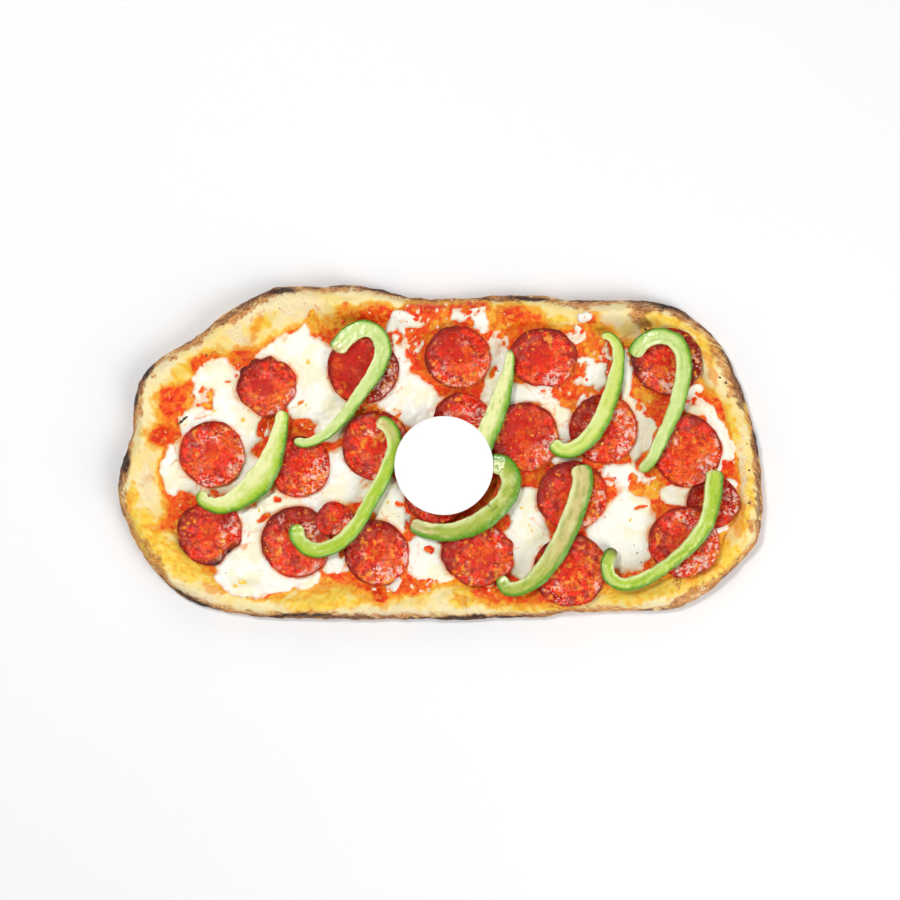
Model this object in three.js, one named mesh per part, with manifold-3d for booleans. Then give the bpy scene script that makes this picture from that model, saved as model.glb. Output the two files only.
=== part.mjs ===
// A whole pinsa: a long oval flatbread with a raised rim, melted mozzarella, salami slices and
// strips of green pepper, with a blank round card on top. Millimetres, +Z up. The origin is on
// the table, under the middle of the oval, and the oval's length runs along X.

import * as THREE from 'three';
import { mergeVertices } from 'three/addons/utils/BufferGeometryUtils.js';
import Module from 'manifold-3d';

const wasm = await Module();
wasm.setup();

// ---- Driving dimensions ----------------------------------------------------------------------

const GAP = 0.4; // clearance between pieces that lie on each other

// The flatbread's outline seen from above, anticlockwise from its top left bubble.
const STATIONS = 76; // corners round the oval
const OUTLINE = [
  [-90, 93], [-116, 81], [-139, 64], [-165, 46.5], [-173.5, 27], [-172, 12.5], [-181, -12.5],
  [-181, -28], [-171, -51], [-153, -76], [-132, -87.5], [-100, -92.3], [-17, -94], [60, -92],
  [78, -89.5], [127, -88.5], [146, -82], [169, -60], [178, -51], [181, -36], [180, -10],
  [171, 29], [158, 60], [149, 70], [130, 82], [98, 85], [78, 84.5], [52, 88], [20, 87],
  [-14, 86], [-35, 91.5], [-53, 94], [-70, 92],
];
const OVAL_HALF_LENGTH = 181;
const OVAL_HALF_WIDTH = 93;
const OVAL_SQUARENESS = 2.6; // exponent of the plain oval that the outline follows

// Heights of the dough: the sunk floor under the toppings, and the rim that puffed up round it.
const FLOOR_HEIGHT = 9;
const RIM_RISE = 7.5; // crest above the floor, before the changes round the oval
const WIDEST_HEIGHT = 5.5; // where the side bulges furthest
const CREST_INSET = 9; // from the edge to the crest
const UNDERSIDE = [[7.5, 0], [2, 1.4]]; // [inset, height] of the corners under the bulge
const OUTER_SLOPE = [[0, 0], [1.4, 0.42], [4.5, 0.84], [CREST_INSET, 1]]; // [inset, share of rise]
const INNER_SLOPE = [[CREST_INSET, 1], [13, 0.84], [17, 0.42], [21, 0.1], [25, 0]];
const RIM_BY_ANGLE = [ // [degrees anticlockwise from +X, share of RIM_RISE]
  [0, 1], [14, 0.75], [28, 0.75], [37, 1.15], [55, 1.05], [68, 0.8], [85, 0.5], [100, 0.55],
  [116, 1.15],
  [140, 1], [175, 1], [196, 1], [206, 0.9], [218, 0.6], [232, 0.85], [270, 0.85], [318, 0.6],
  [335, 1],
];

// Mozzarella melted into one sheet, with openings where the sauce shows through it.
const SAUCE_THICKNESS = 1; // between the dough and the cheese
const CHEESE_THICKNESS = 1.5;
const CHEESE_RING_STEP = 0.6; // closest that two rings of the sheet come
const CHEESE_RINGS = [8, CREST_INSET, 13, 17, 21, 26]; // insets
const CHEESE_INSET_BY_ANGLE = [ // [degrees, distance from the bread's edge to the sheet's]
  [0, 17], [18, 16], [30, 32], [45, 33], [60, 28], [75, 27], [88, 33], [99, 33], [106, 14], [112, 14],
  [119, 27], [128, 24], [150, 17], [168, 24], [188, 25], [200, 38], [208, 24], [214, 9],
  [222, 10], [238, 26],
  [265, 20], [285, 22], [320, 22], [335, 24], [350, 18],
];
const SAUCE_OPENINGS = [ // [x, y, half length, half width, turn in degrees]
  [-100, 13, 4, 7.5, 0], [-77, 15, 8, 5, 0], [-12, -48, 6.5, 10, 20], [116, 20, 8, 15, -12],
  [114, -19, 11, 5.5, 0], [73, 30, 4.5, 4.5, 0], [-135, 33, 4, 7, 10],
];
const OPENING_WOBBLE = 0.18;
const BLOB_CORNERS = 12; // round an opening or a loose bit
const BIT_THICKNESS = 1.3;
const BIT_WOBBLE = 0.12;
const CHEESE_BITS = [ // lying apart from the sheet: [x, y, half length, half width, turn]
  [10.5, 79, 7, 6.5, 0], [23.5, 76, 3.8, 7.5, -25], [74.5, 66, 4.5, 4.6, 0], [83, 73, 3.8, 4.5, 0],
  [25, -79, 6, 3.3, 0], [-25.5, -76.5, 5, 3.4, 40],
];

// Salami: [x, y, half length, half width, cup of the edge], in the order that they were laid.
const SLICE_THICKNESS = 1.4;
const SLICE_CORNERS = 18;
const SLICES = [
  [-97.5, 37, 16.8, 17.1, 1.8],
  [-127.5, -1.5, 18.5, 19, 0.9],
  [-128.5, -45, 18.5, 18.2, 1.1],
  [-78.5, -8, 17.4, 17.4, 0.8],
  [-44, 46, 20.2, 19.9, 1],
  [-36, 3.5, 19, 19.6, 0.7],
  [-80.5, -50, 20.2, 20, 0.8],
  [-59, -37, 11, 9.5, 0.9],
  [-36, -56.5, 18.2, 18.5, 0.9],
  [10, 53, 18.5, 18.2, 0.9],
  [12, 17.5, 16.4, 16.2, 0.6],
  [57.5, 53, 19, 16.8, 1],
  [47.5, 8, 19, 20, 0.8],
  [-2, -22.5, 18.4, 18.4, 0.6],
  [21.5, -57, 20.8, 18.6, 0.8],
  [90.5, 13, 19.4, 19.6, 0.7],
  [127, 50.5, 20.5, 19.4, 1],
  [152, -28, 14.6, 14.8, 0.7],
  [137.5, 1, 19.3, 20.4, 0.9],
  [73, -24.5, 19.8, 19.6, 0.8],
  [73, -66, 20.8, 20.6, 0.9],
  [135.5, -50, 20, 20, 0.8],
];
const BITTEN_SLICE = 2; // its lower right edge is eaten away and charred
const BITE = { angle: -58, reach: 42, depth: 0.16 };
const SLICE_WOBBLE = 0.03;
const PROBES = 36; // directions in which a round piece feels what is under it
const PROBE_SHARES = [0.35, 0.7, 1]; // and how far out

// Green pepper strips: the middle line seen from above, and the width at the start, middle, end.
const STRIP_HEIGHT = 5.6;
const STRIP_STEPS = 12;
const STRIP_BEVEL = 1.2;
const STRIP_SAG = 0.2; // droop allowed between two steps
const FEELERS = 4; // places in each step where a strip feels what is under it
const STRIPS = [
  {
    widths: [7, 12.6, 6.5],
    path: [[-87.5, 23], [-92.5, 0], [-106.5, -22], [-124, -30], [-133, -23]],
  },
  {
    widths: [9, 8.8, 7.2],
    path: [[-58, 56], [-49, 66.5], [-38, 68], [-32, 60], [-37, 43], [-51, 23], [-67, 8], [-81.5, 6]],
  },
  {
    widths: [8, 9, 9.6],
    path: [[-35, 18], [-26, 7], [-29, -8], [-42, -33.5], [-61, -53], [-75, -52.5], [-80.5, -40.5]],
  },
  { widths: [4.5, 10.5, 12], path: [[39, 57], [36, 37.5], [29.5, 18], [25.5, 8.5]] },
  {
    widths: [11, 11.5, 7.5],
    path: [[30, -6], [39.5, -15.5], [31, -32], [12.5, -43], [-16.5, -40.5]],
  },
  {
    widths: [5.5, 9.2, 8],
    path: [[90, 65], [98, 60], [98, 41.5], [90.5, 19.5], [80, 5], [69, 1], [62.5, 5.5]],
  },
  {
    widths: [8.5, 9, 6.5],
    path: [[109.5, 52.5], [117, 63.5], [130, 62], [135.5, 47], [131, 24.5], [121.5, 3.5],
      [112, -10.5]],
  },
  {
    widths: [13, 11.5, 8.4],
    path: [[77.5, -7.5], [77, -27], [68, -49.5], [53.5, -70], [40, -76.5], [33.5, -69.5]],
  },
  {
    widths: [7.5, 9.8, 7.2],
    path: [[152.5, -10], [150, -32], [137.5, -53], [119.5, -67], [101, -73.5], [93, -65],
      [96.5, -54]],
  },
];

// The round card that lies on the middle.
const CARD = { x: 2, y: -7.5, radius: 27.5, thickness: 0.6, corners: 40 };

// ---- Materials -------------------------------------------------------------------------------

const finish = (color, roughness) => new THREE.MeshStandardMaterial({ color, roughness, metalness: 0 });
const crustFinish = finish(0xe8cf9c, 0.8);
const cheeseFinish = finish(0xfbf6e6, 0.45);
const salamiFinish = finish(0xb8261a, 0.35);
const pepperFinish = finish(0x9fc75a, 0.3);
const cardFinish = finish(0xf7f7f5, 0.6);

// ---- Helpers ---------------------------------------------------------------------------------

const radians = THREE.MathUtils.degToRad;

// A value read off straight lines between [position, value] stops.
function ramp(at, stops) {
  const next = stops.findIndex(([position]) => position > at);
  if (next === 0) return stops[0][1];
  if (next < 0) return stops.at(-1)[1];
  const [a, low] = stops[next - 1];
  const [b, high] = stops[next];
  return THREE.MathUtils.mapLinear(at, a, b, low, high);
}

// The same round a full turn, with smooth passages between the stops.
function aroundOval(angle, stops) {
  const degrees = THREE.MathUtils.euclideanModulo(THREE.MathUtils.radToDeg(angle), 360);
  const closed = [...stops, [360, stops[0][1]]];
  const next = closed.findIndex(([position]) => position > degrees);
  const [a, low] = closed[next - 1];
  const [b, high] = closed[next];
  return THREE.MathUtils.lerp(low, high, THREE.MathUtils.smoothstep(degrees, a, b));
}

// A slow wave round a turn that differs from one seed to the next.
function wobble(angle, seed) {
  const first = Math.sin(3 * angle + 1.7 * seed);
  const second = Math.sin(5 * angle + 2.9 * seed);
  return (first + second) / 2;
}

// One closed body from rings of equal count, each end shut by a fan to its middle.
function bodyFromRings(rings) {
  const count = rings[0].length;
  const total = (ring) => ring.reduce((sum, point) => sum.add(point), new THREE.Vector3());
  const middle = (ring) => total(ring).divideScalar(count);
  const points = [...rings.flat(), middle(rings[0]), middle(rings.at(-1))];
  const start = count * rings.length;
  const faces = [];
  for (let k = 0; k < count; k += 1) {
    const next = (k + 1) % count;
    const last = start - count;
    faces.push(start, next, k);
    faces.push(start + 1, last + k, last + next);
    for (let ring = 0; ring < last; ring += count) {
      faces.push(ring + k, ring + next, ring + count + next);
      faces.push(ring + k, ring + count + next, ring + count + k);
    }
  }
  const geometry = new THREE.BufferGeometry().setFromPoints(points);
  geometry.setIndex(faces);
  return geometry;
}

// For cutting: a closed mesh as a solid, and a solid as a mesh.
function asSolid(geometry) {
  geometry.deleteAttribute('normal');
  geometry.deleteAttribute('uv');
  const merged = mergeVertices(geometry);
  return new wasm.Manifold(new wasm.Mesh({
    numProp: 3,
    vertProperties: new Float32Array(merged.attributes.position.array),
    triVerts: new Uint32Array(merged.index.array),
  }));
}

function asGeometry(solid) {
  const { vertProperties, triVerts } = solid.getMesh();
  const geometry = new THREE.BufferGeometry();
  geometry.setAttribute('position', new THREE.BufferAttribute(vertProperties, 3));
  geometry.setIndex(new THREE.BufferAttribute(triVerts, 1));
  return geometry;
}

// ---- The flatbread ---------------------------------------------------------------------------

// Corners of the outline at even steps, moved so that their box is centred on the origin.
function outlineCorners() {
  const points = OUTLINE.map(([x, y]) => new THREE.Vector3(x, y, 0));
  const curve = new THREE.CatmullRomCurve3(points, true, 'centripetal');
  const corners = curve.getSpacedPoints(STATIONS).slice(0, STATIONS);
  const middle = new THREE.Box3().setFromPoints(corners).getCenter(new THREE.Vector3());
  return corners.map((corner) => corner.sub(middle));
}

const EDGE = outlineCorners();

// How much longer a step along the radius is than the same step square to the plain oval.
function slant(angle) {
  const along = (value, half) => (
    Math.sign(value) * Math.abs(value) ** (OVAL_SQUARENESS - 1) / half ** OVAL_SQUARENESS
  );
  const radius = new THREE.Vector2(Math.cos(angle), Math.sin(angle));
  const acrossX = along(radius.x, OVAL_HALF_LENGTH);
  const acrossY = along(radius.y, OVAL_HALF_WIDTH);
  return 1 / radius.dot(new THREE.Vector2(acrossX, acrossY).normalize());
}

// The edge's distance from the origin in one direction.
function edgeRadius(angle) {
  const x = Math.cos(angle);
  const y = Math.sin(angle);
  for (let k = 0; k < STATIONS; k += 1) {
    const a = EDGE[k];
    const b = EDGE[(k + 1) % STATIONS];
    if (x * a.y - y * a.x <= 0 && x * b.y - y * b.x > 0 && x * a.x + y * a.y > 0) {
      return (a.x * b.y - a.y * b.x) / (x * (b.y - a.y) - y * (b.x - a.x));
    }
  }
  throw new Error('the outline is open');
}

// Height of the dough's upper side.
function doughHeight(inset, angle) {
  const crest = FLOOR_HEIGHT + RIM_RISE * aroundOval(angle, RIM_BY_ANGLE);
  return inset < CREST_INSET
    ? THREE.MathUtils.lerp(WIDEST_HEIGHT, crest, ramp(inset, OUTER_SLOPE))
    : THREE.MathUtils.lerp(FLOOR_HEIGHT, crest, ramp(inset, INNER_SLOPE));
}

function doughUnder(x, y) {
  const angle = Math.atan2(y, x);
  const inset = (edgeRadius(angle) - Math.hypot(x, y)) / slant(angle);
  return doughHeight(Math.max(inset, 0), angle);
}

// A ring round the bread; insetAt and heightAt are functions of the station's angle.
function ovalRing(insetAt, heightAt) {
  return EDGE.map((corner) => {
    const angle = Math.atan2(corner.y, corner.x);
    const inset = insetAt(angle);
    const radius = Math.hypot(corner.x, corner.y) - inset * slant(angle);
    const height = heightAt(inset, angle);
    return new THREE.Vector3(radius * Math.cos(angle), radius * Math.sin(angle), height);
  });
}

function crust() {
  const under = UNDERSIDE.map(([inset, height]) => ovalRing(() => inset, () => height));
  const insets = [...OUTER_SLOPE, ...INNER_SLOPE.slice(1)].map(([inset]) => inset);
  const over = insets.map((inset) => ovalRing(() => inset, doughHeight));
  return bodyFromRings([...under, ...over]);
}

// ---- Mozzarella ------------------------------------------------------------------------------

const CHEESE_TOP = SAUCE_THICKNESS + CHEESE_THICKNESS; // above the dough

function cheeseRing(index, lift) {
  const insetAt = (angle) => Math.max(
    CHEESE_RINGS[index],
    aroundOval(angle, CHEESE_INSET_BY_ANGLE) + CHEESE_RING_STEP * index,
  );
  return ovalRing(insetAt, (inset, angle) => doughHeight(inset, angle) + lift);
}

function openingCutter([x, y, halfLength, halfWidth, turn], index) {
  const points = Array.from({ length: BLOB_CORNERS }, (_, k) => {
    const angle = (2 * Math.PI * k) / BLOB_CORNERS;
    const swell = 1 + OPENING_WOBBLE * wobble(angle, index);
    const point = new THREE.Vector2(Math.cos(angle), Math.sin(angle));
    return point.multiply(new THREE.Vector2(halfLength, halfWidth)).multiplyScalar(swell);
  });
  const depth = 4 * FLOOR_HEIGHT;
  const cutter = new THREE.ExtrudeGeometry(new THREE.Shape(points), { depth, bevelEnabled: false });
  return cutter.rotateZ(radians(turn)).translate(x, y, 0);
}

function cheeseSheet() {
  const count = CHEESE_RINGS.length;
  const bottom = CHEESE_RINGS.map((_, k) => cheeseRing(count - 1 - k, SAUCE_THICKNESS));
  const top = CHEESE_RINGS.map((_, k) => cheeseRing(k, CHEESE_TOP));
  const whole = asSolid(bodyFromRings([...bottom, ...top]));
  const cutters = SAUCE_OPENINGS.map((opening, index) => asSolid(openingCutter(opening, index)));
  return asGeometry(cutters.reduce((sheet, cutter) => sheet.subtract(cutter), whole));
}

// ---- What lies on the cheese -----------------------------------------------------------------

// Each laid piece gives its top at a point, or -Infinity beside it.
const laid = [];

function pileHeight(x, y) {
  return laid.reduce((top, topAt) => Math.max(top, topAt(x, y)), doughUnder(x, y) + CHEESE_TOP);
}

// A round outline: its reach in a direction, out of its centre.
function roundReach({ rx, ry, seed, sway, bite }, angle) {
  const plain = (rx * ry) / Math.hypot(ry * Math.cos(angle), rx * Math.sin(angle));
  let reach = plain * (1 + sway * wobble(angle, seed));
  if (bite) {
    const away = Math.acos(Math.cos(angle - radians(bite.angle)));
    reach *= 1 - bite.depth * (1 - THREE.MathUtils.smoothstep(away, 0, radians(bite.reach)));
  }
  return reach;
}

// Lowest plane that a round, slightly cupped piece rests on, as height and slopes at its centre.
function restingPlane(disc) {
  const samples = [];
  for (let k = 0; k < PROBES; k += 1) {
    const angle = (2 * Math.PI * k) / PROBES;
    for (const share of PROBE_SHARES) {
      const reach = share * (roundReach(disc, angle) + GAP);
      const dx = reach * Math.cos(angle);
      const dy = reach * Math.sin(angle);
      samples.push({ dx, dy, under: pileHeight(disc.x + dx, disc.y + dy) - disc.cup * share ** 3 });
    }
  }
  const fit = (key) => {
    const lever = samples.reduce((sum, s) => sum + s[key] * s.under, 0);
    return lever / samples.reduce((sum, s) => sum + s[key] ** 2, 0);
  };
  const slopeX = fit('dx');
  const slopeY = fit('dy');
  const height = Math.max(...samples.map((s) => s.under - slopeX * s.dx - slopeY * s.dy));
  return { height: height + GAP, slopeX, slopeY };
}

// A round piece laid on the pile, which grows by it.
function laidDisc(disc) {
  const plane = restingPlane(disc);
  const heightAt = (dx, dy, share) => (
    plane.height + plane.slopeX * dx + plane.slopeY * dy + disc.cup * share ** 3
  );
  const ring = (share, lift) => Array.from({ length: disc.corners }, (_, k) => {
    const angle = (2 * Math.PI * k) / disc.corners;
    const reach = share * roundReach(disc, angle);
    const dx = reach * Math.cos(angle);
    const dy = reach * Math.sin(angle);
    return new THREE.Vector3(disc.x + dx, disc.y + dy, heightAt(dx, dy, share) + lift);
  });
  laid.push((x, y) => {
    const dx = x - disc.x;
    const dy = y - disc.y;
    const share = Math.hypot(dx, dy) / (roundReach(disc, Math.atan2(dy, dx)) + GAP);
    return share > 1 ? -Infinity : heightAt(dx, dy, share) + disc.thickness;
  });
  const rings = disc.cup ? [0.6, 0.98, 1, 0.6] : [1, 1];
  const half = rings.length / 2;
  return bodyFromRings(rings.map((share, k) => ring(share, k < half ? 0 : disc.thickness)));
}

function slice([x, y, rx, ry, cup], index) {
  const bite = index === BITTEN_SLICE ? BITE : null;
  const shape = { x, y, rx, ry, cup, bite, seed: index + 1, sway: SLICE_WOBBLE };
  return laidDisc({ ...shape, thickness: SLICE_THICKNESS, corners: SLICE_CORNERS });
}

function card() {
  const { x, y, radius, thickness, corners } = CARD;
  return laidDisc({ x, y, rx: radius, ry: radius, cup: 0, seed: 0, sway: 0, thickness, corners });
}

// A loose bit of melted cheese, a low dome that follows the dough.
function cheeseBit([x, y, halfLength, halfWidth, turn], index) {
  const ring = (share, lift) => Array.from({ length: BLOB_CORNERS }, (_, k) => {
    const angle = (2 * Math.PI * k) / BLOB_CORNERS;
    const swell = share * (1 + BIT_WOBBLE * wobble(angle, index + 4));
    const offset = new THREE.Vector2(Math.cos(angle), Math.sin(angle));
    offset.multiply(new THREE.Vector2(halfLength, halfWidth)).multiplyScalar(swell);
    offset.rotateAround(new THREE.Vector2(), radians(turn));
    const height = doughUnder(x + offset.x, y + offset.y) + SAUCE_THICKNESS + lift;
    return new THREE.Vector3(x + offset.x, y + offset.y, height);
  });
  const middleHeight = 0.5 * BIT_THICKNESS;
  return bodyFromRings([ring(0.5, 0), ring(1, 0), ring(0.96, middleHeight), ring(0.5, BIT_THICKNESS)]);
}

// ---- Pepper strips ---------------------------------------------------------------------------

// Places along a strip: middle, sideways direction and half width.
function stripStations({ widths, path }, steps) {
  const points = path.map(([x, y]) => new THREE.Vector3(x, y, 0));
  const curve = new THREE.CatmullRomCurve3(points, false, 'centripetal');
  const stops = widths.map((width, k) => [k / 2, width]);
  return Array.from({ length: steps + 1 }, (_, k) => {
    const share = k / steps;
    const tangent = curve.getTangentAt(share);
    return {
      middle: curve.getPointAt(share),
      side: new THREE.Vector3(-tangent.y, tangent.x, 0),
      half: ramp(share, stops) / 2,
    };
  });
}

// Heights of a stiff strip that rests on the pile and droops a little where nothing holds it.
function stripHeights(strip) {
  const under = stripStations(strip, FEELERS * STRIP_STEPS).map(({ middle, side, half }) => Math.max(
    ...[-1, -0.5, 0, 0.5, 1].map((share) => {
      const at = middle.clone().addScaledVector(side, share * (half + GAP));
      return pileHeight(at.x, at.y);
    }),
  ));
  const heights = Array.from({ length: STRIP_STEPS + 1 }, (_, k) => under[FEELERS * k] + GAP);
  for (let pass = 0; pass < 100; pass += 1) {
    under.forEach((top, feeler) => {
      const k = Math.min(Math.floor(feeler / FEELERS), STRIP_STEPS - 1);
      const share = feeler / FEELERS - k;
      const short = Math.max(top + GAP - THREE.MathUtils.lerp(heights[k], heights[k + 1], share), 0);
      const leverage = (1 - share) ** 2 + share ** 2;
      heights[k] += short * (1 - share) / leverage;
      heights[k + 1] += short * share / leverage;
    });
    for (let k = 1; k < STRIP_STEPS; k += 1) {
      heights[k] = Math.max(heights[k], (heights[k - 1] + heights[k + 1]) / 2 - STRIP_SAG);
    }
  }
  return heights;
}

// The section's corners: an oblong with its edges cut off, as [sideways, up].
function stripSection(half) {
  const inner = half - STRIP_BEVEL;
  const top = STRIP_HEIGHT;
  const shoulder = STRIP_HEIGHT - STRIP_BEVEL;
  return [
    [inner, 0], [half, STRIP_BEVEL], [half, shoulder], [inner, top],
    [-inner, top], [-half, shoulder], [-half, STRIP_BEVEL], [-inner, 0],
  ];
}

function pepperStrip(strip) {
  const stations = stripStations(strip, STRIP_STEPS);
  const heights = stripHeights(strip);
  const feelers = stripStations(strip, FEELERS * STRIP_STEPS);
  laid.push((x, y) => {
    const near = ({ middle, half }) => Math.hypot(x - middle.x, y - middle.y) < half + GAP;
    const feeler = feelers.findIndex(near);
    const step = Math.round(feeler / FEELERS);
    return feeler < 0 ? -Infinity : heights[step] + STRIP_HEIGHT + STRIP_SAG;
  });
  return bodyFromRings(stations.map(({ middle, side, half }, k) => (
    stripSection(half).map(([across, up]) => (
      middle.clone().addScaledVector(side, across).setZ(heights[k] + up)
    ))
  )));
}

// ---- The whole pinsa -------------------------------------------------------------------------

const pinsa = new THREE.Group();

function addNode(name, geometry, material) {
  const mesh = new THREE.Mesh(geometry, material);
  mesh.name = name;
  pinsa.add(mesh);
}

const numbered = (name, index) => `${name}_${String(index + 1).padStart(2, '0')}`;

addNode('crust', crust(), crustFinish);
addNode('mozzarella_sheet', cheeseSheet(), cheeseFinish);
CHEESE_BITS.forEach((bit, k) => addNode(numbered('mozzarella_bit', k), cheeseBit(bit, k), cheeseFinish));
SLICES.forEach((one, k) => addNode(numbered('pepperoni', k), slice(one, k), salamiFinish));
STRIPS.forEach((strip, k) => addNode(numbered('pepper_strip', k), pepperStrip(strip), pepperFinish));
addNode('round_card', card(), cardFinish);

export default pinsa;
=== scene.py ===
import functools
import math

import bpy
import numpy as np
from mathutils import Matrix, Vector
from mathutils.bvhtree import BVHTree


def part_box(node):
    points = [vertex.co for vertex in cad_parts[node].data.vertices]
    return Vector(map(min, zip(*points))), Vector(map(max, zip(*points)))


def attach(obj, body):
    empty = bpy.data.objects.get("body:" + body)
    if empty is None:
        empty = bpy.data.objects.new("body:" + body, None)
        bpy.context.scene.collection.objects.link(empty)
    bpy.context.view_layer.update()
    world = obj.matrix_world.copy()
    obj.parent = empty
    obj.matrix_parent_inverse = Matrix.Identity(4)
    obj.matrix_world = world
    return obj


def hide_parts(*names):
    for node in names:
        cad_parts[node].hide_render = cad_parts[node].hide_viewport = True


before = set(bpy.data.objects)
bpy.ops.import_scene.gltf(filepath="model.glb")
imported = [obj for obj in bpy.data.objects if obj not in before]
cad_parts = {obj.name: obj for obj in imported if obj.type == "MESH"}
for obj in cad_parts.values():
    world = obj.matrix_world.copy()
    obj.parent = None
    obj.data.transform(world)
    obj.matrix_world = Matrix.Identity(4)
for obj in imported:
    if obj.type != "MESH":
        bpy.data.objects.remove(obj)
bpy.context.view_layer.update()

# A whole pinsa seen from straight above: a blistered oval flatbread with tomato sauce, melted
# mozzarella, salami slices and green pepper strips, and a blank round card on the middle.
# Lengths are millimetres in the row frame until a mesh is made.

MM = 0.001

# ---- Places read off the photo, in its pixels ------------------------------------------------

PIXEL = 0.56  # millimetres to a pixel
ORIGIN = (440.35, 452.0)  # the pixel of the row frame's origin

# Ellipses hold x, y, half length, half width and, unless it is 0, the turn in degrees,
# clockwise. Small spots hold x, y and half size.

# Melted mozzarella.
CHEESE_BLOBS = [
    (215, 385, 24, 28), (240, 425, 30, 25), (200, 425, 22, 18), (172, 470, 11, 26, 5),
    (205, 480, 30, 18), (245, 478, 26, 22), (212, 455, 34, 34), (300, 365, 32, 34),
    (296, 347, 18, 12, -20), (303, 334, 6, 9), (312, 400, 28, 26), (272, 354, 20, 9, -15),
    (355, 375, 35, 35), (397, 355, 12, 42), (405, 395, 30, 22), (425, 412, 26, 20),
    (335, 425, 22, 14, -30), (345, 475, 26, 30), (310, 495, 35, 18), (285, 505, 24, 16),
    (385, 497, 20, 24), (395, 520, 18, 14), (252, 545, 34, 38), (250, 578, 36, 20, 5),
    (280, 580, 16, 12), (308, 580, 14, 8, -20), (335, 562, 16, 12), (425, 555, 20, 24),
    (430, 572, 22, 10), (395, 585, 9, 7, -40), (446, 573, 8, 9), (489, 582, 8, 6),
    (459, 311, 13, 13), (478, 317, 9, 17, -25), (497, 365, 14, 34), (500, 400, 20, 18),
    (530, 393, 26, 10), (584, 372, 13, 17, 15), (577, 336, 8, 9), (584, 318, 9, 5, -10),
    (602, 370, 7, 24, 8), (409, 320, 16, 8, 15), (551, 406, 12, 9), (564, 426, 13, 18),
    (586, 402, 11, 7, -25), (566, 461, 16, 6), (527, 505, 22, 18), (528, 545, 26, 30),
    (524, 566, 14, 14), (618, 475, 26, 12), (640, 486, 12, 7), (628, 530, 28, 42),
    (598, 530, 14, 20), (682, 495, 22, 13), (632, 405, 7, 12, -35), (643, 416, 9, 7),
    (635, 447, 8, 16), (625, 376, 6, 28), (696, 388, 8, 5, -30), (694, 405, 15, 10, 15),
    (716, 428, 8, 24, -18), (725, 446, 8, 16, -10), (646, 430, 9, 22, 8), (717, 466, 5, 10, 20),
    (729, 486, 9, 9), (718, 526, 8, 7),
]

# Where the sauce ends, from the left by the bottom, the right and the top.
SAUCE_BORDER = [
    (196, 376), (184, 383), (170, 384), (160, 396), (158, 412), (162, 424), (148, 434), (153, 443),
    (164, 448), (158, 460), (157, 472), (159, 487), (164, 500), (166, 512), (156, 526), (172, 531),
    (190, 536), (196, 552), (204, 568), (222, 582), (236, 594), (262, 600), (285, 594), (300, 587),
    (320, 583), (345, 586), (362, 592), (375, 603), (385, 604), (396, 598), (412, 594), (432, 588),
    (450, 584), (466, 588), (478, 598), (490, 606), (505, 604), (530, 604), (552, 606), (571, 602),
    (590, 594), (612, 584), (640, 578), (682, 572), (708, 556), (724, 530), (736, 505), (739, 480),
    (736, 458), (728, 440), (724, 425), (722, 405), (712, 393), (702, 386), (690, 370), (684, 345),
    (668, 336), (650, 334), (640, 346), (624, 344), (610, 334), (598, 318), (592, 312), (586, 315),
    (580, 324), (566, 327), (552, 325), (540, 314), (528, 306), (500, 306), (495, 311), (484, 297),
    (464, 297), (455, 293), (443, 293), (430, 298), (412, 302), (404, 304), (398, 310), (388, 305),
    (380, 303), (365, 307), (355, 310), (347, 304), (340, 306), (332, 316), (324, 326), (318, 322),
    (315, 308), (308, 314), (302, 326), (290, 329), (272, 338), (262, 346), (250, 350), (240, 350),
    (226, 356), (216, 352), (206, 353), (192, 360), (190, 370),
]
SAUCE_PATCHES = [  # sauce that lies apart
    (171, 402, 12, 17, 15), (161, 436, 12, 9), (201, 363, 11, 8, -15), (180, 508, 14, 13),
    (166, 527, 11, 3, -5),
]

# Thin, oily places of the sauce, orange to yellow.
OIL_PATCHES = [
    (186, 376, 10, 10), (160, 448, 11, 5), (312, 322, 9, 15), (336, 318, 18, 12), (368, 312, 16, 7),
    (246, 350, 16, 6), (190, 398, 5, 14), (323, 418, 9, 10), (496, 319, 16, 12), (389, 407, 26, 6),
    (596, 332, 14, 12), (568, 404, 10, 8), (644, 392, 14, 13, 20), (644, 490, 20, 11),
    (380, 592, 12, 9), (435, 585, 34, 6), (485, 594, 20, 8), (168, 526, 13, 5), (163, 455, 8, 12),
    (210, 400, 10, 8), (728, 500, 8, 22), (440, 320, 14, 12), (590, 350, 8, 14), (535, 398, 16, 8),
    (325, 585, 20, 8),
]

# The bread's crust.
CHAR = [
    (281, 291, 14, 3.6, -3), (147, 371, 5, 9, 25), (136, 400, 2.4, 8, 5), (125, 461, 5, 13),
    (392, 292, 26, 2, 12), (528, 299, 20, 2, 4), (668, 306, 26, 2.4, 8), (706, 323, 26, 3.2, 38),
    (736, 363, 2.6, 22, -22), (756, 430, 2.2, 26, -6), (192, 600, 24, 2.2, 28), (300, 616, 40, 1.8),
    (470, 618, 70, 1.8),
]
SCORCH = [  # darker brown, grainy places
    (249, 303, 50, 4.5, -33), (190, 337, 26, 4, -30), (137, 393, 5, 24, 15), (121, 468, 5, 32),
    (127, 540, 4, 30, -15), (160, 580, 24, 4, 42), (202, 603, 24, 3, 24), (330, 617, 60, 2.5),
    (480, 619, 80, 2.5), (620, 615, 60, 3, -3), (728, 582, 28, 6, -42), (677, 582, 1.8, 10, -10),
    (758, 500, 3, 34), (755, 430, 4.5, 44, -4), (737, 374, 8, 26, -22), (716, 334, 26, 8, 42),
    (680, 310, 32, 6, 12), (640, 306, 12, 9, 30), (588, 298, 36, 2.5), (500, 299, 40, 2.5),
    (396, 292, 34, 3, 8), (330, 286, 34, 3), (740, 400, 5, 12, -15), (643, 324, 8, 5, 30),
]
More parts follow.
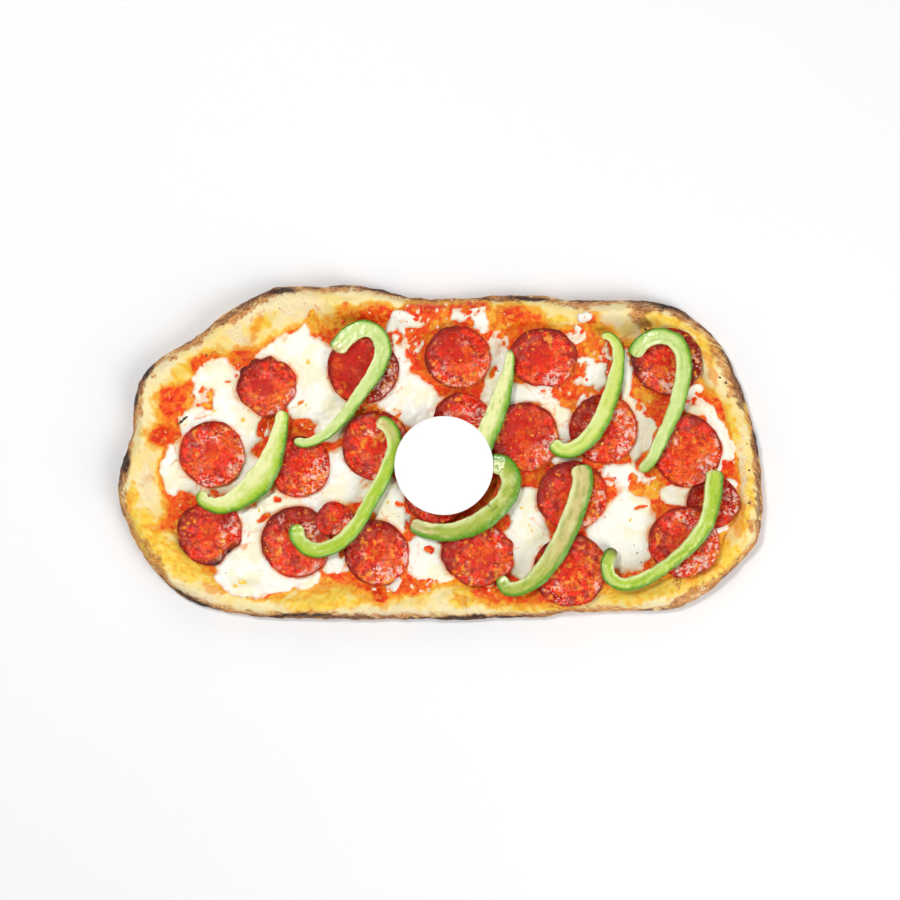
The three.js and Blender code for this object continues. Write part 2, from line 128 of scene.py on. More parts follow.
TOAST = [
    (249, 306, 52, 8, -33), (190, 341, 26, 6, -30), (138, 390, 6, 30), (174, 356, 5, 4),
    (154, 378, 3, 4), (137, 408, 6, 14), (123, 466, 7, 18), (124, 512, 6, 34, -5),
    (157, 574, 24, 11, 48), (186, 598, 24, 5, 30), (582, 302, 44, 6), (636, 312, 6, 15, 10),
    (690, 317, 38, 9, 28), (722, 356, 13, 30, -25), (732, 385, 10, 16, -15), (756, 450, 5, 40),
    (750, 503, 4, 5), (753, 526, 5, 9), (722, 588, 26, 5, -40), (300, 614, 60, 3),
    (440, 618, 60, 2.5), (620, 613, 70, 3, -3), (345, 288, 28, 5), (500, 298, 36, 3),
    (677, 582, 2.5, 11), (642, 308, 20, 5, 5), (150, 556, 9, 20, -30), (700, 590, 40, 8, -28),
]
GOLD = [
    (150, 540, 20, 36, -15), (187, 562, 28, 22, 30), (262, 322, 13, 13, -30), (318, 600, 44, 13),
    (461, 596, 14, 12), (670, 580, 80, 18, -14), (722, 562, 30, 18, -45), (668, 322, 32, 8, 12),
    (706, 350, 9, 20, -25), (650, 325, 14, 8), (133, 500, 8, 22), (340, 312, 12, 6),
    (742, 500, 10, 34), (560, 318, 16, 5), (545, 605, 40, 7), (182, 372, 12, 10),
    (730, 430, 6, 34, -12), (748, 420, 4, 40, -8),
]
STAIN = [
    (155, 527, 15, 4), (256, 330, 5, 16, 18), (244, 348, 14, 4), (322, 588, 12, 7),
    (170, 516, 14, 6), (604, 330, 6, 10, -20), (625, 342, 8, 6), (712, 376, 6, 12, -20),
    (212, 588, 14, 5, 20), (738, 520, 6, 22, 10), (700, 572, 22, 5, -30), (716, 588, 22, 5, -40),
    (130, 506, 5, 12), (708, 358, 4, 8), (727, 432, 4, 16, -8), (460, 600, 10, 5),
]
FLOUR = [
    (202, 596, 32, 6, 20), (656, 604, 12, 4), (344, 290, 26, 5), (582, 306, 34, 5),
    (612, 318, 15, 9), (262, 306, 40, 10, -30), (400, 612, 90, 5), (147, 480, 6, 20),
    (742, 470, 5, 40), (165, 360, 14, 16, -35), (236, 336, 12, 9), (300, 308, 24, 14),
]
BUBBLES = [  # puffed places of the rim: ellipses, and how far they rise in millimetres
    (344, 293, 26, 10, 2.2), (608, 319, 21, 14, 1.4), (634, 313, 12, 14, 1.0),
    (690, 326, 24, 12, 35, 1.6), (160, 573, 22, 14, 45, 1.6), (141, 388, 11, 26, 1.4),
    (225, 322, 34, 14, -35, 1.8), (127, 480, 9, 38, 1.2), (735, 420, 13, 32, -10, 1.2),
    (749, 500, 12, 30, 1.4), (716, 578, 34, 16, -40, 1.4), (640, 600, 36, 10, -4, 1.0),
    (540, 610, 40, 9, 1.2), (400, 610, 44, 9, 1.4), (300, 606, 34, 10, 1.0),
    (205, 600, 30, 10, 22, 1.3), (470, 299, 24, 6, 1.0), (713, 372, 16, 26, -25, 1.2),
]

# Small gaps and strokes where sauce shows through the mozzarella.
CHEESE_GAPS = [
    (261, 427, 5, 13, 15), (305, 425, 12, 8), (263, 519, 10, 3.5, -35), (277, 499, 5, 3),
    (214, 494, 5, 3.5, -20), (227, 381, 4, 2, -20), (411, 350, 3, 9, 20), (384, 347, 2.5, 6),
    (409, 532, 3, 14, -8), (429, 549, 6, 4, 20), (641, 507, 10, 2.5, -10), (640, 489, 14, 8),
    (365, 407, 10, 2, 10), (396, 418, 9, 2.5, -20), (633, 478, 5, 5), (652, 478, 4, 5),
    (209, 400, 2.5, 9), (493, 372, 3, 8, 20), (566, 404, 8, 3), (587, 392, 3, 8), (341, 553, 4, 6),
    (399, 505, 4, 3), (300, 404, 4, 2),
]

# Where the mozzarella lies in shreds, with sauce between them.
SHREDDED = [
    (425, 311, 28, 13), (414, 350, 13, 20), (395, 345, 9, 18), (582, 368, 15, 19),
    (691, 399, 18, 8, 20), (650, 408, 16, 9, 20), (572, 330, 12, 10), (205, 397, 11, 12),
    (425, 586, 26, 7), (655, 480, 14, 8), (719, 482, 10, 8), (240, 372, 8, 8), (605, 478, 18, 8),
    (380, 585, 12, 7), (470, 307, 20, 14, 10), (500, 345, 8, 14), (603, 352, 12, 14),
    (552, 392, 18, 7),
]

# Bits of curd that lie loose on the sauce and the rim.
CURDS = [
    (204, 397, 7), (199, 402, 4), (408, 306, 5), (418, 312, 6), (428, 320, 5), (437, 311, 5),
    (446, 305, 5), (402, 321, 6), (395, 317, 4), (420, 347, 6), (414, 353, 3), (412, 330, 4),
    (438, 327, 4), (452, 300, 4), (447, 319, 3), (560, 389, 5), (569, 393, 4), (584, 318, 4),
    (690, 402, 8), (684, 399, 4), (698, 406, 4), (719, 484, 7), (726, 481, 4), (711, 522, 5),
    (388, 591, 5), (412, 586, 5), (430, 582, 5), (421, 590, 3), (376, 584, 3), (489, 590, 4),
    (170, 397, 2), (166, 432, 2), (648, 478, 3), (630, 481, 3), (655, 489, 3), (238, 365, 3),
    (262, 430, 3), (302, 425, 4), (310, 429, 3), (517, 548, 4), (514, 566, 4), (603, 352, 4),
    (634, 402, 5), (644, 410, 4), (650, 402, 3), (473, 302, 3), (508, 325, 3), (333, 316, 2),
    (370, 313, 3), (180, 505, 3), (191, 512, 2), (733, 462, 3), (719, 452, 3), (622, 500, 3),
]
TOMATO = [  # thicker lumps and strokes of sauce
    (170, 402, 13, 17), (161, 437, 12, 11), (181, 508, 14, 14), (168, 525, 10, 5),
    (201, 364, 11, 8), (281, 337, 16, 5, -20), (376, 316, 22, 9), (261, 427, 4, 12, -35),
    (304, 425, 11, 8), (263, 519, 9, 4, -30), (277, 499, 4, 3), (214, 494, 5, 4),
    (425, 312, 24, 11), (449, 296, 6, 4), (474, 305, 9, 8), (515, 316, 17, 9), (416, 354, 10, 18),
    (590, 318, 6, 6), (657, 418, 15, 12), (698, 398, 16, 5, 20), (721, 462, 6, 12),
    (628, 482, 6, 5), (649, 507, 8, 2.5), (409, 532, 4, 14), (429, 550, 6, 6), (380, 594, 9, 11),
    (418, 583, 18, 9, -20), (485, 591, 16, 6), (513, 546, 9, 9), (514, 567, 6, 10),
    (186, 421, 4, 3), (227, 381, 4, 3), (568, 392, 10, 9), (498, 372, 4, 8), (240, 352, 14, 4),
    (722, 410, 6, 14, -20),
]
DARK_SPOTS = [
    (207, 356, 3), (178, 424, 2), (180, 423, 2.6), (181.5, 421.7, 3), (183, 420.5, 3.2),
    (184.5, 419, 3), (186, 417.6, 2.6), (187.5, 416.6, 2), (226, 573, 1.6), (637, 553, 1.6),
    (634, 545, 1.3), (641, 562, 1.2), (645, 329, 2.5), (498, 371, 1.8), (174, 358, 2),
    (746, 444, 2), (748, 470, 2), (747, 503, 2.4), (725, 383, 3), (719, 378, 2), (153, 378, 2),
    (676, 580, 1.6),
]
OIL_DROPS = [
    (243, 420, 3), (308, 362, 3), (243, 583, 5), (236, 586, 3), (306, 405, 2), (224, 541, 2),
    (352, 468, 2), (388, 502, 2), (521, 508, 2), (630, 520, 2), (258, 478, 2), (214, 411, 2),
]

# Pepper strips: their middle lines.
STRIPS = [
    [(284, 411), (281, 430), (275, 452), (265, 474), (250, 491), (232, 502), (216, 505),
     (204, 499), (203, 491)],
    [(337, 352), (343, 342), (353, 333), (366, 329), (377, 334), (383, 345), (381, 361),
     (372, 379), (361, 394), (349, 411), (336, 426), (321, 438), (306, 443), (295, 441)],
    [(378, 420), (388, 426), (394, 438), (394, 452), (389, 466), (382, 481), (373, 497),
     (365, 512), (356, 526), (345, 538), (331, 547), (318, 550), (306, 546), (298, 536),
     (297, 524)],
    [(510, 350), (509, 366), (505, 385), (499, 404), (493, 420), (486, 437), (480, 450)],
    [(489, 462), (505, 467), (511, 480), (507, 495), (496, 509), (481, 521), (463, 529),
     (445, 532), (427, 530), (411, 524)],
    [(601, 336), (609, 337), (616, 345), (618, 360), (615, 378), (610, 395), (602, 417),
     (594, 431), (583, 443), (571, 450), (560, 450), (552, 442)],
    [(633, 357), (638, 347), (649, 339), (661, 337), (673, 342), (681, 355), (682, 372),
     (679, 390), (674, 408), (666, 427), (657, 446), (648, 463), (640, 471)],
    [(579, 465), (582, 480), (578, 500), (571, 519), (562, 540), (550, 560), (536, 577),
     (520, 587), (506, 587), (500, 576)],
    [(713, 470), (712, 485), (710, 502), (706, 518), (698, 533), (686, 547), (671, 560),
     (654, 572), (636, 581), (619, 583), (608, 575), (606, 562), (613, 548)],
]

# Widths of the strips in millimetres, at the start, middle and end.
STRIP_WIDTHS = [
    (6.5, 13.2, 6), (10.5, 8.2, 4.8), (8, 8.4, 8.4), (3.5, 10.4, 12), (11.5, 11, 8.5), (4.5, 9, 8),
    (9, 8.6, 6.2), (12, 11.6, 7), (10, 8, 6.8),
]


# ---- Numbers ---------------------------------------------------------------------------------

LATTICE = 128  # noise repeats after so many cells
SHARPNESS = 3.0  # of the corners where two blobs meet
FAR = 99.0  # a height or a distance beyond anything here, in millimetres


def to_pixel(x, y):
    return x / PIXEL + ORIGIN[0], ORIGIN[1] - y / PIXEL


def to_row(px, py):
    return (px - ORIGIN[0]) * PIXEL, (ORIGIN[1] - py) * PIXEL


def full_turn(count):
    return np.linspace(0, 2 * math.pi, count, endpoint=False)


def turned_away(angle, middle):
    """How far an angle lies from another, to either side."""
    return np.abs(np.angle(np.exp(1j * (angle - middle))))


def ease(value, low, high):
    """0 up to low, 1 from high on, and smooth between them."""
    t = np.clip((value - low) / (high - low), 0, 1)
    return t * t * (3 - 2 * t)


@functools.lru_cache(maxsize=None)
def lattice(seed):
    return np.random.default_rng(seed).uniform(-1, 1, (LATTICE, LATTICE))


def noise(x, y, cell, seed):
    """Smooth noise from -1 to 1, its bumps about one cell wide."""
    values = lattice(seed)
    c, s = math.cos(seed), math.sin(seed)
    u = (c * x - s * y) / cell + 37.1
    v = (s * x + c * y) / cell + 91.7
    i = np.floor(u).astype(int)
    j = np.floor(v).astype(int)
    a = u - i
    b = v - j
    a = a * a * a * (a * (a * 6 - 15) + 10)
    b = b * b * b * (b * (b * 6 - 15) + 10)
    left, right = i % LATTICE, (i + 1) % LATTICE
    near, far = j % LATTICE, (j + 1) % LATTICE
    low = (1 - a) * values[left, near] + a * values[right, near]
    high = (1 - a) * values[left, far] + a * values[right, far]
    return (1 - b) * low + b * high


def fractal(x, y, cell, seed, octaves=4):
    """Noise, with noise of half the cell and half the height on it, and so on."""
    shares = [0.5 ** k for k in range(octaves)]
    layers = [share * noise(x, y, cell * share, seed + 17 * k) for k, share in enumerate(shares)]
    return sum(layers) / sum(shares)


def blob_field(x, y, blobs, fray, seed):
    """Smooth union of ellipses, frayed: above 0 inside it, 1 in the middle of one."""
    px, py = to_pixel(x, y)
    px = px + fray * (fractal(x, y, 9, seed) + 0.5 * noise(x, y, 2.6, seed + 5))
    py = py + fray * (fractal(x, y, 9, seed + 1) + 0.5 * noise(x, y, 2.6, seed + 6))
    total = np.full(np.shape(x), 1e-9)
    for cx, cy, half_length, half_width, *turn in blobs:
        angle = math.radians(turn[0]) if turn else 0
        c, s = math.cos(angle), math.sin(angle)
        u = (c * (px - cx) + s * (py - cy)) / half_length
        v = (c * (py - cy) - s * (px - cx)) / half_width
        total = total + np.exp(SHARPNESS * (1 - u * u - v * v))
    return np.log(total) / SHARPNESS


def border_distance(x, y, border):
    """Distance from a closed line given in pixels, above 0 inside it."""
    px, py = to_pixel(x, y)
    nearest = np.full(np.shape(x), 1e9)
    inside = np.zeros(np.shape(x), bool)
    for (ax, ay), (bx, by) in zip(border, border[1:] + border[:1]):
        ex, ey = bx - ax, by - ay
        along = np.clip(((px - ax) * ex + (py - ay) * ey) / (ex * ex + ey * ey), 0, 1)
        nearest = np.minimum(nearest, np.hypot(px - ax - along * ex, py - ay - along * ey))
        crosses = (ay > py) != (by > py)
        reach = ax + (py - ay) * ex / (ey if ey else 1e-9)
        inside ^= crosses & (px < reach)
    return np.where(inside, nearest, -nearest) * PIXEL


# ---- The CAD nodes ---------------------------------------------------------------------------

def node_points(node):
    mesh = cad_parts[node].data
    points = np.zeros(len(mesh.vertices) * 3)
    mesh.vertices.foreach_get("co", points)
    return points.reshape(-1, 3) / MM


def node_box(node):
    low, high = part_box(node)
    return np.array(low) / MM, np.array(high) / MM


def undersides(node, places):
    """Height of a node's underside over each place, in millimetres; nan beside it."""
    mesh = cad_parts[node].data
    corners = [v.co for v in mesh.vertices]
    tree = BVHTree.FromPolygons(corners, [tuple(p.vertices) for p in mesh.polygons])
    hits = [tree.ray_cast(Vector((x * MM, y * MM, -1)), Vector((0, 0, 1)))[0] for x, y in places]
    return np.array([hit.z / MM if hit else np.nan for hit in hits])


# ---- The bread's shape -----------------------------------------------------------------------

TURNS = 2048
TURN_ANGLES = full_turn(TURNS)
WIDEST_HEIGHT = 5.5  # where the bread's edge reaches farthest out
FLOOR_HEIGHT = 9.0  # of the bread inside its rim
CREST_INSET = 9.0
FLOOR_INSET = 25.0
SQUARENESS = 2.6  # the power of the oval's curve
OUTER_ROUNDNESS = 2.6  # the power of the rim's curve from the widest place up to the crest
SAME_HEIGHT = 0.02
SAME_ANGLE = 0.004  # radians
EDGE_BLUR = 1.2  # degrees
CREST_BLUR = 2.5
BLISTER_COUNT = 230


def round_table(angles, values, blur):
    """Values at some angles, spread over a full turn and blurred by so many degrees."""
    order = np.argsort(angles)
    dense = np.interp(TURN_ANGLES, angles[order], values[order], period=2 * math.pi)
    waves = np.arange(TURNS // 2 + 1)
    soften = np.exp(-0.5 * (waves * math.radians(blur)) ** 2)
    return np.fft.irfft(np.fft.rfft(dense) * soften, TURNS)


def read_rim():
    """The edge's distance from the origin and the crest's height, all round, from the CAD."""
    points = node_points("crust")
    angles = np.arctan2(points[:, 1], points[:, 0]) % (2 * math.pi)
    widest = np.abs(points[:, 2] - WIDEST_HEIGHT) < SAME_HEIGHT
    edge = np.hypot(points[:, 0], points[:, 1])
    stations = angles[widest]
    apart = turned_away(stations[:, None], angles[None, :])
    crest = np.where(apart < SAME_ANGLE, points[None, :, 2], 0).max(axis=1)
    edge_table = round_table(stations, edge[widest], EDGE_BLUR)
    return edge_table, round_table(stations, crest, CREST_BLUR)


EDGE, CREST = read_rim()
HALF_LENGTH, HALF_WIDTH = (node_box("crust")[1] - node_box("crust")[0])[:2] / 2


def around(table, angle):
    return np.interp(angle, TURN_ANGLES, table, period=2 * math.pi)


def edge_reach(angle):
    """Distance from the origin to the bread's edge."""
    reach = around(EDGE, angle)
    x, y = reach * np.cos(angle), reach * np.sin(angle)
    return reach + 0.9 * fractal(x, y, 14, 3)


def slant(angle):
    """How much longer a step along the radius is than the same step square to the oval."""
    c, s = np.cos(angle), np.sin(angle)
    gx = np.abs(c) ** (SQUARENESS - 1) / HALF_LENGTH ** SQUARENESS
    gy = np.abs(s) ** (SQUARENESS - 1) / HALF_WIDTH ** SQUARENESS
    return np.hypot(gx, gy) / (np.abs(c) * gx + np.abs(s) * gy)


def inset_at(x, y):
    """How far places lie inside the bread's edge, square to it."""
    angle = np.arctan2(y, x)
    return (edge_reach(angle) - np.hypot(x, y)) / slant(angle)


def blister_list():
    """Small blisters scattered over the rim: x, y, radius and rise."""
    rng = np.random.default_rng(41)
    angle = rng.uniform(0, 2 * math.pi, BLISTER_COUNT)
    inset = rng.uniform(1.5, 20, BLISTER_COUNT)
    radius = edge_reach(angle) - inset * slant(angle)
    size = rng.uniform(1.2, 4.8, BLISTER_COUNT) ** 1.1
    rise = size * rng.uniform(0.1, 0.26, BLISTER_COUNT)
    return np.stack([radius * np.cos(angle), radius * np.sin(angle), size, rise], 1)


BLISTERS = blister_list()


def blistered(x, y, rises):
    """Round bumps, one for each blister, as high as the rises say."""
    total = np.zeros(np.shape(x))
    for (middle_x, middle_y, size, _), rise in zip(BLISTERS, rises):
        near = 1 - ((x - middle_x) ** 2 + (y - middle_y) ** 2) / size ** 2
        total = total + rise * np.clip(near, 0, 1) ** 2
    return total


def relief(x, y, inset):
    """Bumps and bubbles of the dough's upper side."""
    on_rim = 1 - ease(inset, 17, 27)
    swell = (fractal(x, y, 26, 11) + 0.8 * fractal(x, y, 8, 12)) * (0.3 + 0.7 * on_rim)
    for *bubble, rise in BUBBLES:
        swell = swell + rise * ease(blob_field(x, y, [bubble], 2.0, 21), -0.1, 0.9)
    return (swell + blistered(x, y, BLISTERS[:, 3])) * ease(inset, -0.5, 4)


def dough(x, y):
    """Height of the dough's upper side."""
    inset = inset_at(x, y)
    crest = around(CREST, np.arctan2(y, x))
    outer = 1 - (1 - np.clip(inset / CREST_INSET, 0, 1)) ** OUTER_ROUNDNESS
    inner = 1 - ease(inset, CREST_INSET, FLOOR_INSET)
    rising = WIDEST_HEIGHT + (crest - WIDEST_HEIGHT) * outer
    falling = FLOOR_HEIGHT + (crest - FLOOR_HEIGHT) * inner
    return np.where(inset < CREST_INSET, rising, falling) + relief(x, y, inset)


# ---- Meshes ----------------------------------------------------------------------------------

def loft(rings):
    """A closed body through rings of equal count, both ends shut to their middles."""
    rings = np.asarray(rings, float)
    count, corners = rings.shape[:2]
    points = np.concatenate([rings.reshape(-1, 3), rings[:1].mean(1), rings[-1:].mean(1)])
    k = np.arange(corners)
    after = (k + 1) % corners
    start = np.arange(count - 1)[:, None] * corners
    sides = np.stack([start + k, start + after, start + corners + after, start + corners + k], -1)
    first = count * corners
    last = first - corners
    caps = [(first, b, a) for a, b in zip(k, after)]
    caps += [(first + 1, last + a, last + b) for a, b in zip(k, after)]
    return points, sides.reshape(-1, 4).tolist() + caps


def between(x, y, top, bottom, kept):
    """A closed body between two heights, over the kept cells of a grid."""
    index = np.arange(x.size).reshape(x.shape)
    a, b, c, d = index[:-1, :-1], index[:-1, 1:], index[1:, 1:], index[1:, :-1]
    deck = np.stack([a, b, c, d], -1)[kept]
    faces = [deck, deck[:, ::-1] + x.size]
    padded = np.pad(kept, 1)
    beside = [
        (a, b, padded[:-2, 1:-1]), (b, c, padded[1:-1, 2:]),
        (c, d, padded[2:, 1:-1]), (d, a, padded[1:-1, :-2]),
    ]
    for p, q, neighbour in beside:
        bare = kept & ~neighbour
        faces.append(np.stack([q[bare], p[bare], p[bare] + x.size, q[bare] + x.size], -1))
    faces = np.concatenate(faces)
    points = np.stack([np.tile(x.ravel(), 2), np.tile(y.ravel(), 2),
                       np.concatenate([top.ravel(), bottom.ravel()])], -1)
    used, again = np.unique(faces, return_inverse=True)
    return points[used], again.reshape(faces.shape).tolist(), used


def joined(bodies):
    """Several bodies as one list of points and one of faces."""
    points, faces, start = [], [], 0
    for body_points, body_faces in bodies:
        points.append(body_points)
        faces += [[start + k for k in face] for face in body_faces]
        start += len(body_points)
    return np.concatenate(points), faces


def add_object(name, data):
    thing = bpy.data.objects.new(name, data)
    bpy.context.scene.collection.objects.link(thing)
    return thing


def add_mesh(name, points, faces, material):
    """An object from points in metres."""
    mesh = bpy.data.meshes.new(name)
    mesh.from_pydata(np.asarray(points).tolist(), [], faces)
    mesh.materials.append(material)
    return add_object(name, mesh)


def piece(name, body, look, tint, replaces=()):
    """A shown piece of the pinsa from points in millimetres, with one tint or one for each."""
    points, faces = body
    shown = add_mesh(name, points * MM, faces, look)
    shown.data.shade_smooth()
    colours = np.ones((len(points), 4), np.float32)
    colours[:, :np.shape(tint)[-1]] = tint
    layer = shown.data.attributes.new("tint", "FLOAT_COLOR", "POINT")
    layer.data.foreach_set("color", colours.ravel())
    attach(shown, "root")
    if replaces:
        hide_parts(*replaces)


# ---- Colours ---------------------------------------------------------------------------------

def srgb(red, green, blue):
    value = np.array([red, green, blue]) / 255
    return np.where(value <= 0.04045, value / 12.92, ((value + 0.055) / 1.055) ** 2.4)


def layered(colour, *layers):
    """A colour with others over it in turn, each as thick as its mask."""
    for layer, mask in layers:
        mask = np.clip(mask, 0, 1)[:, None]
        colour = colour * (1 - mask) + layer * mask
    return colour


CREAM = srgb(254, 228, 148)
PALE_DOUGH = srgb(255, 238, 180)
GOLDEN = srgb(255, 213, 56)
AMBER = srgb(246, 150, 22)
TOASTED = srgb(236, 152, 66)
BAKED = srgb(152, 84, 42)
BURNT = srgb(42, 28, 24)
CRUSTED = srgb(72, 36, 20)
GRIT = srgb(128, 68, 38)
FLOURED = srgb(255, 236, 190)
SAUCE_RED = srgb(255, 68, 10)
SAUCE_DARK = srgb(220, 30, 2)
SAUCE_ORANGE = srgb(255, 142, 16)
SAUCE_YELLOW = srgb(255, 202, 62)
CHEESE_WHITE = srgb(255, 252, 238)
CHEESE_CREAM = srgb(252, 242, 204)
CHEESE_STAIN = srgb(252, 170, 96)
CHEESE_PINK = srgb(250, 208, 180)
SALAMI_RED = srgb(246, 44, 4)
SALAMI_DEEP = srgb(164, 10, 0)
SALAMI_EDGE = srgb(112, 10, 4)
SALAMI_ORANGE = srgb(252, 100, 20)
SALAMI_FAT = srgb(254, 156, 36)
# pinkish white: pale grains of fat, and painted glints
SALAMI_FAT_AND_GLINT = srgb(255, 206, 192)
SALAMI_POOL = srgb(204, 18, 0)
SALAMI_CHAR = srgb(46, 12, 16)
SALAMI_MAROON = srgb(118, 10, 6)
PEPPER_FLESH = srgb(212, 226, 112)
PEPPER_MINT = srgb(206, 226, 138)
PEPPER_GRASS = srgb(178, 206, 58)
PEPPER_MOSS = srgb(176, 188, 78)
PEPPER_PITH = srgb(236, 242, 176)
PEPPER_BEIGE = srgb(214, 194, 128)
PEPPER_CREAM = srgb(240, 240, 170)
PEPPER_LIME = srgb(176, 208, 34)
PEPPER_GREEN = srgb(140, 188, 46)
PEPPER_OLIVE = srgb(106, 156, 26)
PEPPER_SKIN = srgb(82, 146, 24)
PEPPER_TIP = srgb(84, 70, 24)
CARD_WHITE = srgb(248, 248, 247)
CARD_FIBRE = srgb(225, 225, 220)
SINGED = srgb(84, 48, 30)
OIL = srgb(252, 214, 96)
OIL_DEEP = srgb(254, 200, 60)
FLOOR_WHITE = srgb(250, 250, 250)
FLOOR_CLOUD = srgb(246, 246, 246)
STRIP_LOOKS = {  # colour of the cut face, colour toward the skin, and how much of that shows
    1: (PEPPER_CREAM, PEPPER_LIME, 0.6), 2: (PEPPER_MINT, PEPPER_GREEN, 0.3),
    3: (PEPPER_GRASS, PEPPER_GREEN, 0.36), 4: (PEPPER_CREAM, PEPPER_GREEN, 0.42),
    5: (PEPPER_MOSS, PEPPER_OLIVE, 0.45), 6: (PEPPER_FLESH, PEPPER_GREEN, 0.34),
    7: (PEPPER_MINT, PEPPER_GREEN, 0.34), 8: (PEPPER_MOSS, PEPPER_OLIVE, 0.34),
    9: (PEPPER_GRASS, PEPPER_OLIVE, 0.3),
}


# ---- Materials -------------------------------------------------------------------------------

class Look:
    """A procedural material, put together node by node."""

    def __init__(self, name, **settings):
        self.material = bpy.data.materials.new(name)
        self.material.use_nodes = True
        self.tree = self.material.node_tree
        self.shader = self.tree.nodes["Principled BSDF"]
        self.place = self.add("ShaderNodeTexCoord").outputs["Object"]
        for key, value in settings.items():
            self.shader.inputs[key.replace("_", " ")].default_value = value

    def add(self, kind, **settings):
        node = self.tree.nodes.new(kind)
        for key, value in settings.items():
            setattr(node, key, value)
        return node

    def join(self, source, target):
        self.tree.links.new(source, target)

    def tint(self, output="Color"):
        return self.add("ShaderNodeAttribute", attribute_name="tint").outputs[output]

    def grain(self, cell, detail=3.0, roughness=0.6):
        """Noise whose bumps are about one cell (mm) wide."""
        node = self.add("ShaderNodeTexNoise")
        node.inputs["Scale"].default_value = 1 / (cell * MM)
        node.inputs["Detail"].default_value = detail
        node.inputs["Roughness"].default_value = roughness
        self.join(self.place, node.inputs["Vector"])
        return node.outputs["Fac"]

    def spots(self, cell, size):
        """1 in round spots, one to a cell (mm), their radius a share of it."""
        node = self.add("ShaderNodeTexVoronoi")
        node.inputs["Scale"].default_value = 1 / (cell * MM)
        self.join(self.place, node.inputs["Vector"])
        return self.stretch(node.outputs["Distance"], size, size * 0.6)

    def stretch(self, source, low, high, to_low=0.0, to_high=1.0):
        """What runs from low to high made to run from to_low to to_high."""
        node = self.add("ShaderNodeMapRange")
        limits = {"From Min": low, "From Max": high, "To Min": to_low, "To Max": to_high}
        for key, value in limits.items():
            node.inputs[key].default_value = value
        self.join(source, node.inputs["Value"])
        return node.outputs["Result"]

    def times(self, a, b):
        node = self.add("ShaderNodeMath", operation="MULTIPLY")
        self.join(a, node.inputs[0])
        self.join(b, node.inputs[1])
        return node.outputs[0]

    def over(self, base, layer, mask):
        """A colour over another where the mask says."""
        node = self.add("ShaderNodeMix", data_type="RGBA")
        self.join(mask, node.inputs["Factor"])
        if isinstance(base, np.ndarray):
            node.inputs["A"].default_value = (*base, 1)
        else:
            self.join(base, node.inputs["A"])
        node.inputs["B"].default_value = (*layer, 1)
        return node.outputs["Result"]

    def grains(self, base, layer, cell, detail, low, high, most, masked=False):
        """A colour over another in grains, everywhere or where the tint's fourth column says."""
        mask = self.stretch(self.grain(cell, detail), low, high, 0, most)
        if masked:
            mask = self.times(mask, self.tint("Alpha"))
        return self.over(base, layer, mask)

    def colour(self, source):
        self.join(source, self.shader.inputs["Base Color"])

    def unevenly_rough(self, cell, least, most, low=0.3, high=0.7):
        source = self.stretch(self.grain(cell), low, high, least, most)
        self.join(source, self.shader.inputs["Roughness"])

    def bump(self, cell, detail, roughness, depth, strength):
        """Bumps about one cell (mm) wide and a depth (mm) high."""
        node = self.add("ShaderNodeBump")
        node.inputs["Distance"].default_value = depth * MM
        node.inputs["Strength"].default_value = strength
        self.join(self.grain(cell, detail, roughness), node.inputs["Height"])
        self.join(node.outputs["Normal"], self.shader.inputs["Normal"])


def crust_look():
    look = Look("baked dough", Roughness=0.7, Specular_IOR_Level=0.25)
    colour = look.grains(look.tint(), TOASTED, 1.7, 4, 0.56, 0.66, 0.2)
    colour = look.grains(colour, FLOURED, 1.1, 4, 0.56, 0.66, 0.15)
    colour = look.grains(colour, GRIT, 0.85, 2, 0.52, 0.62, 0.7, masked=True)
    look.colour(look.grains(colour, FLOURED, 1.05, 2, 0.58, 0.66, 0.6, masked=True))
    look.unevenly_rough(5, 0.55, 0.85)
    look.bump(1.2, 5, 0.7, 0.6, 0.9)
    return look.material


def sauce_look():
    look = Look("tomato sauce", Roughness=0.3, Specular_IOR_Level=0.34,
                Specular_Tint=(1, 0.86, 0.78, 1))
    colour = look.grains(look.tint(), SAUCE_YELLOW, 3.0, 3, 0.54, 0.64, 0.4)
    look.colour(look.grains(colour, SAUCE_DARK, 2.4, 4, 0.52, 0.62, 0.55))
    look.unevenly_rough(1.2, 0.12, 0.4)
    look.bump(1.6, 4, 0.65, 1.0, 1.0)
    return look.material


def cheese_look():
    look = Look("mozzarella", Roughness=0.4, Subsurface_Weight=0.15, Subsurface_Scale=0.5,
                Subsurface_Radius=(0.004, 0.003, 0.002))
    look.colour(look.grains(look.tint(), CHEESE_STAIN, 2.2, 5, 0.64, 0.78, 0.35))
    look.unevenly_rough(3, 0.25, 0.5)
    look.bump(1.8, 3, 0.5, 0.35, 0.5)
    return look.material


def salami_look():
    look = Look("salami", Roughness=0.25, Specular_IOR_Level=0.32,
                Specular_Tint=(1, 0.76, 0.64, 1))
    colour = look.grains(look.tint(), SALAMI_DEEP, 1.7, 3, 0.5, 0.6, 0.6)
    fat = look.times(look.spots(2.6, 0.26), look.stretch(look.grain(4.0, 2), 0.52, 0.58))
    colour = look.over(colour, SALAMI_FAT, fat)
    # Pinkish white grains where the tint's fourth column says: pale fat, and painted glints on the
    # lit side
    look.colour(look.grains(colour, SALAMI_FAT_AND_GLINT, 1.5, 3, 0.565, 0.61, 0.95, masked=True))
    look.unevenly_rough(1.2, 0.06, 0.3, 0.35, 0.65)
    look.bump(1.5, 3, 0.5, 0.8, 1.0)
    return look.material


def pepper_look():
    look = Look("green pepper", Roughness=0.24)
    look.colour(look.grains(look.tint(), PEPPER_PITH, 1.6, 4, 0.5, 0.72, 0.14))
    look.unevenly_rough(2.0, 0.14, 0.36)
    look.bump(1.4, 3, 0.5, 0.22, 0.5)
    return look.material


def card_look():
    look = Look("card", Roughness=0.6)
    look.colour(look.grains(look.tint(), CARD_FIBRE, 0.8, 3, 0.3, 0.7, 0.05))
    look.bump(0.5, 2, 0.6, 0.03, 0.4)
    return look.material


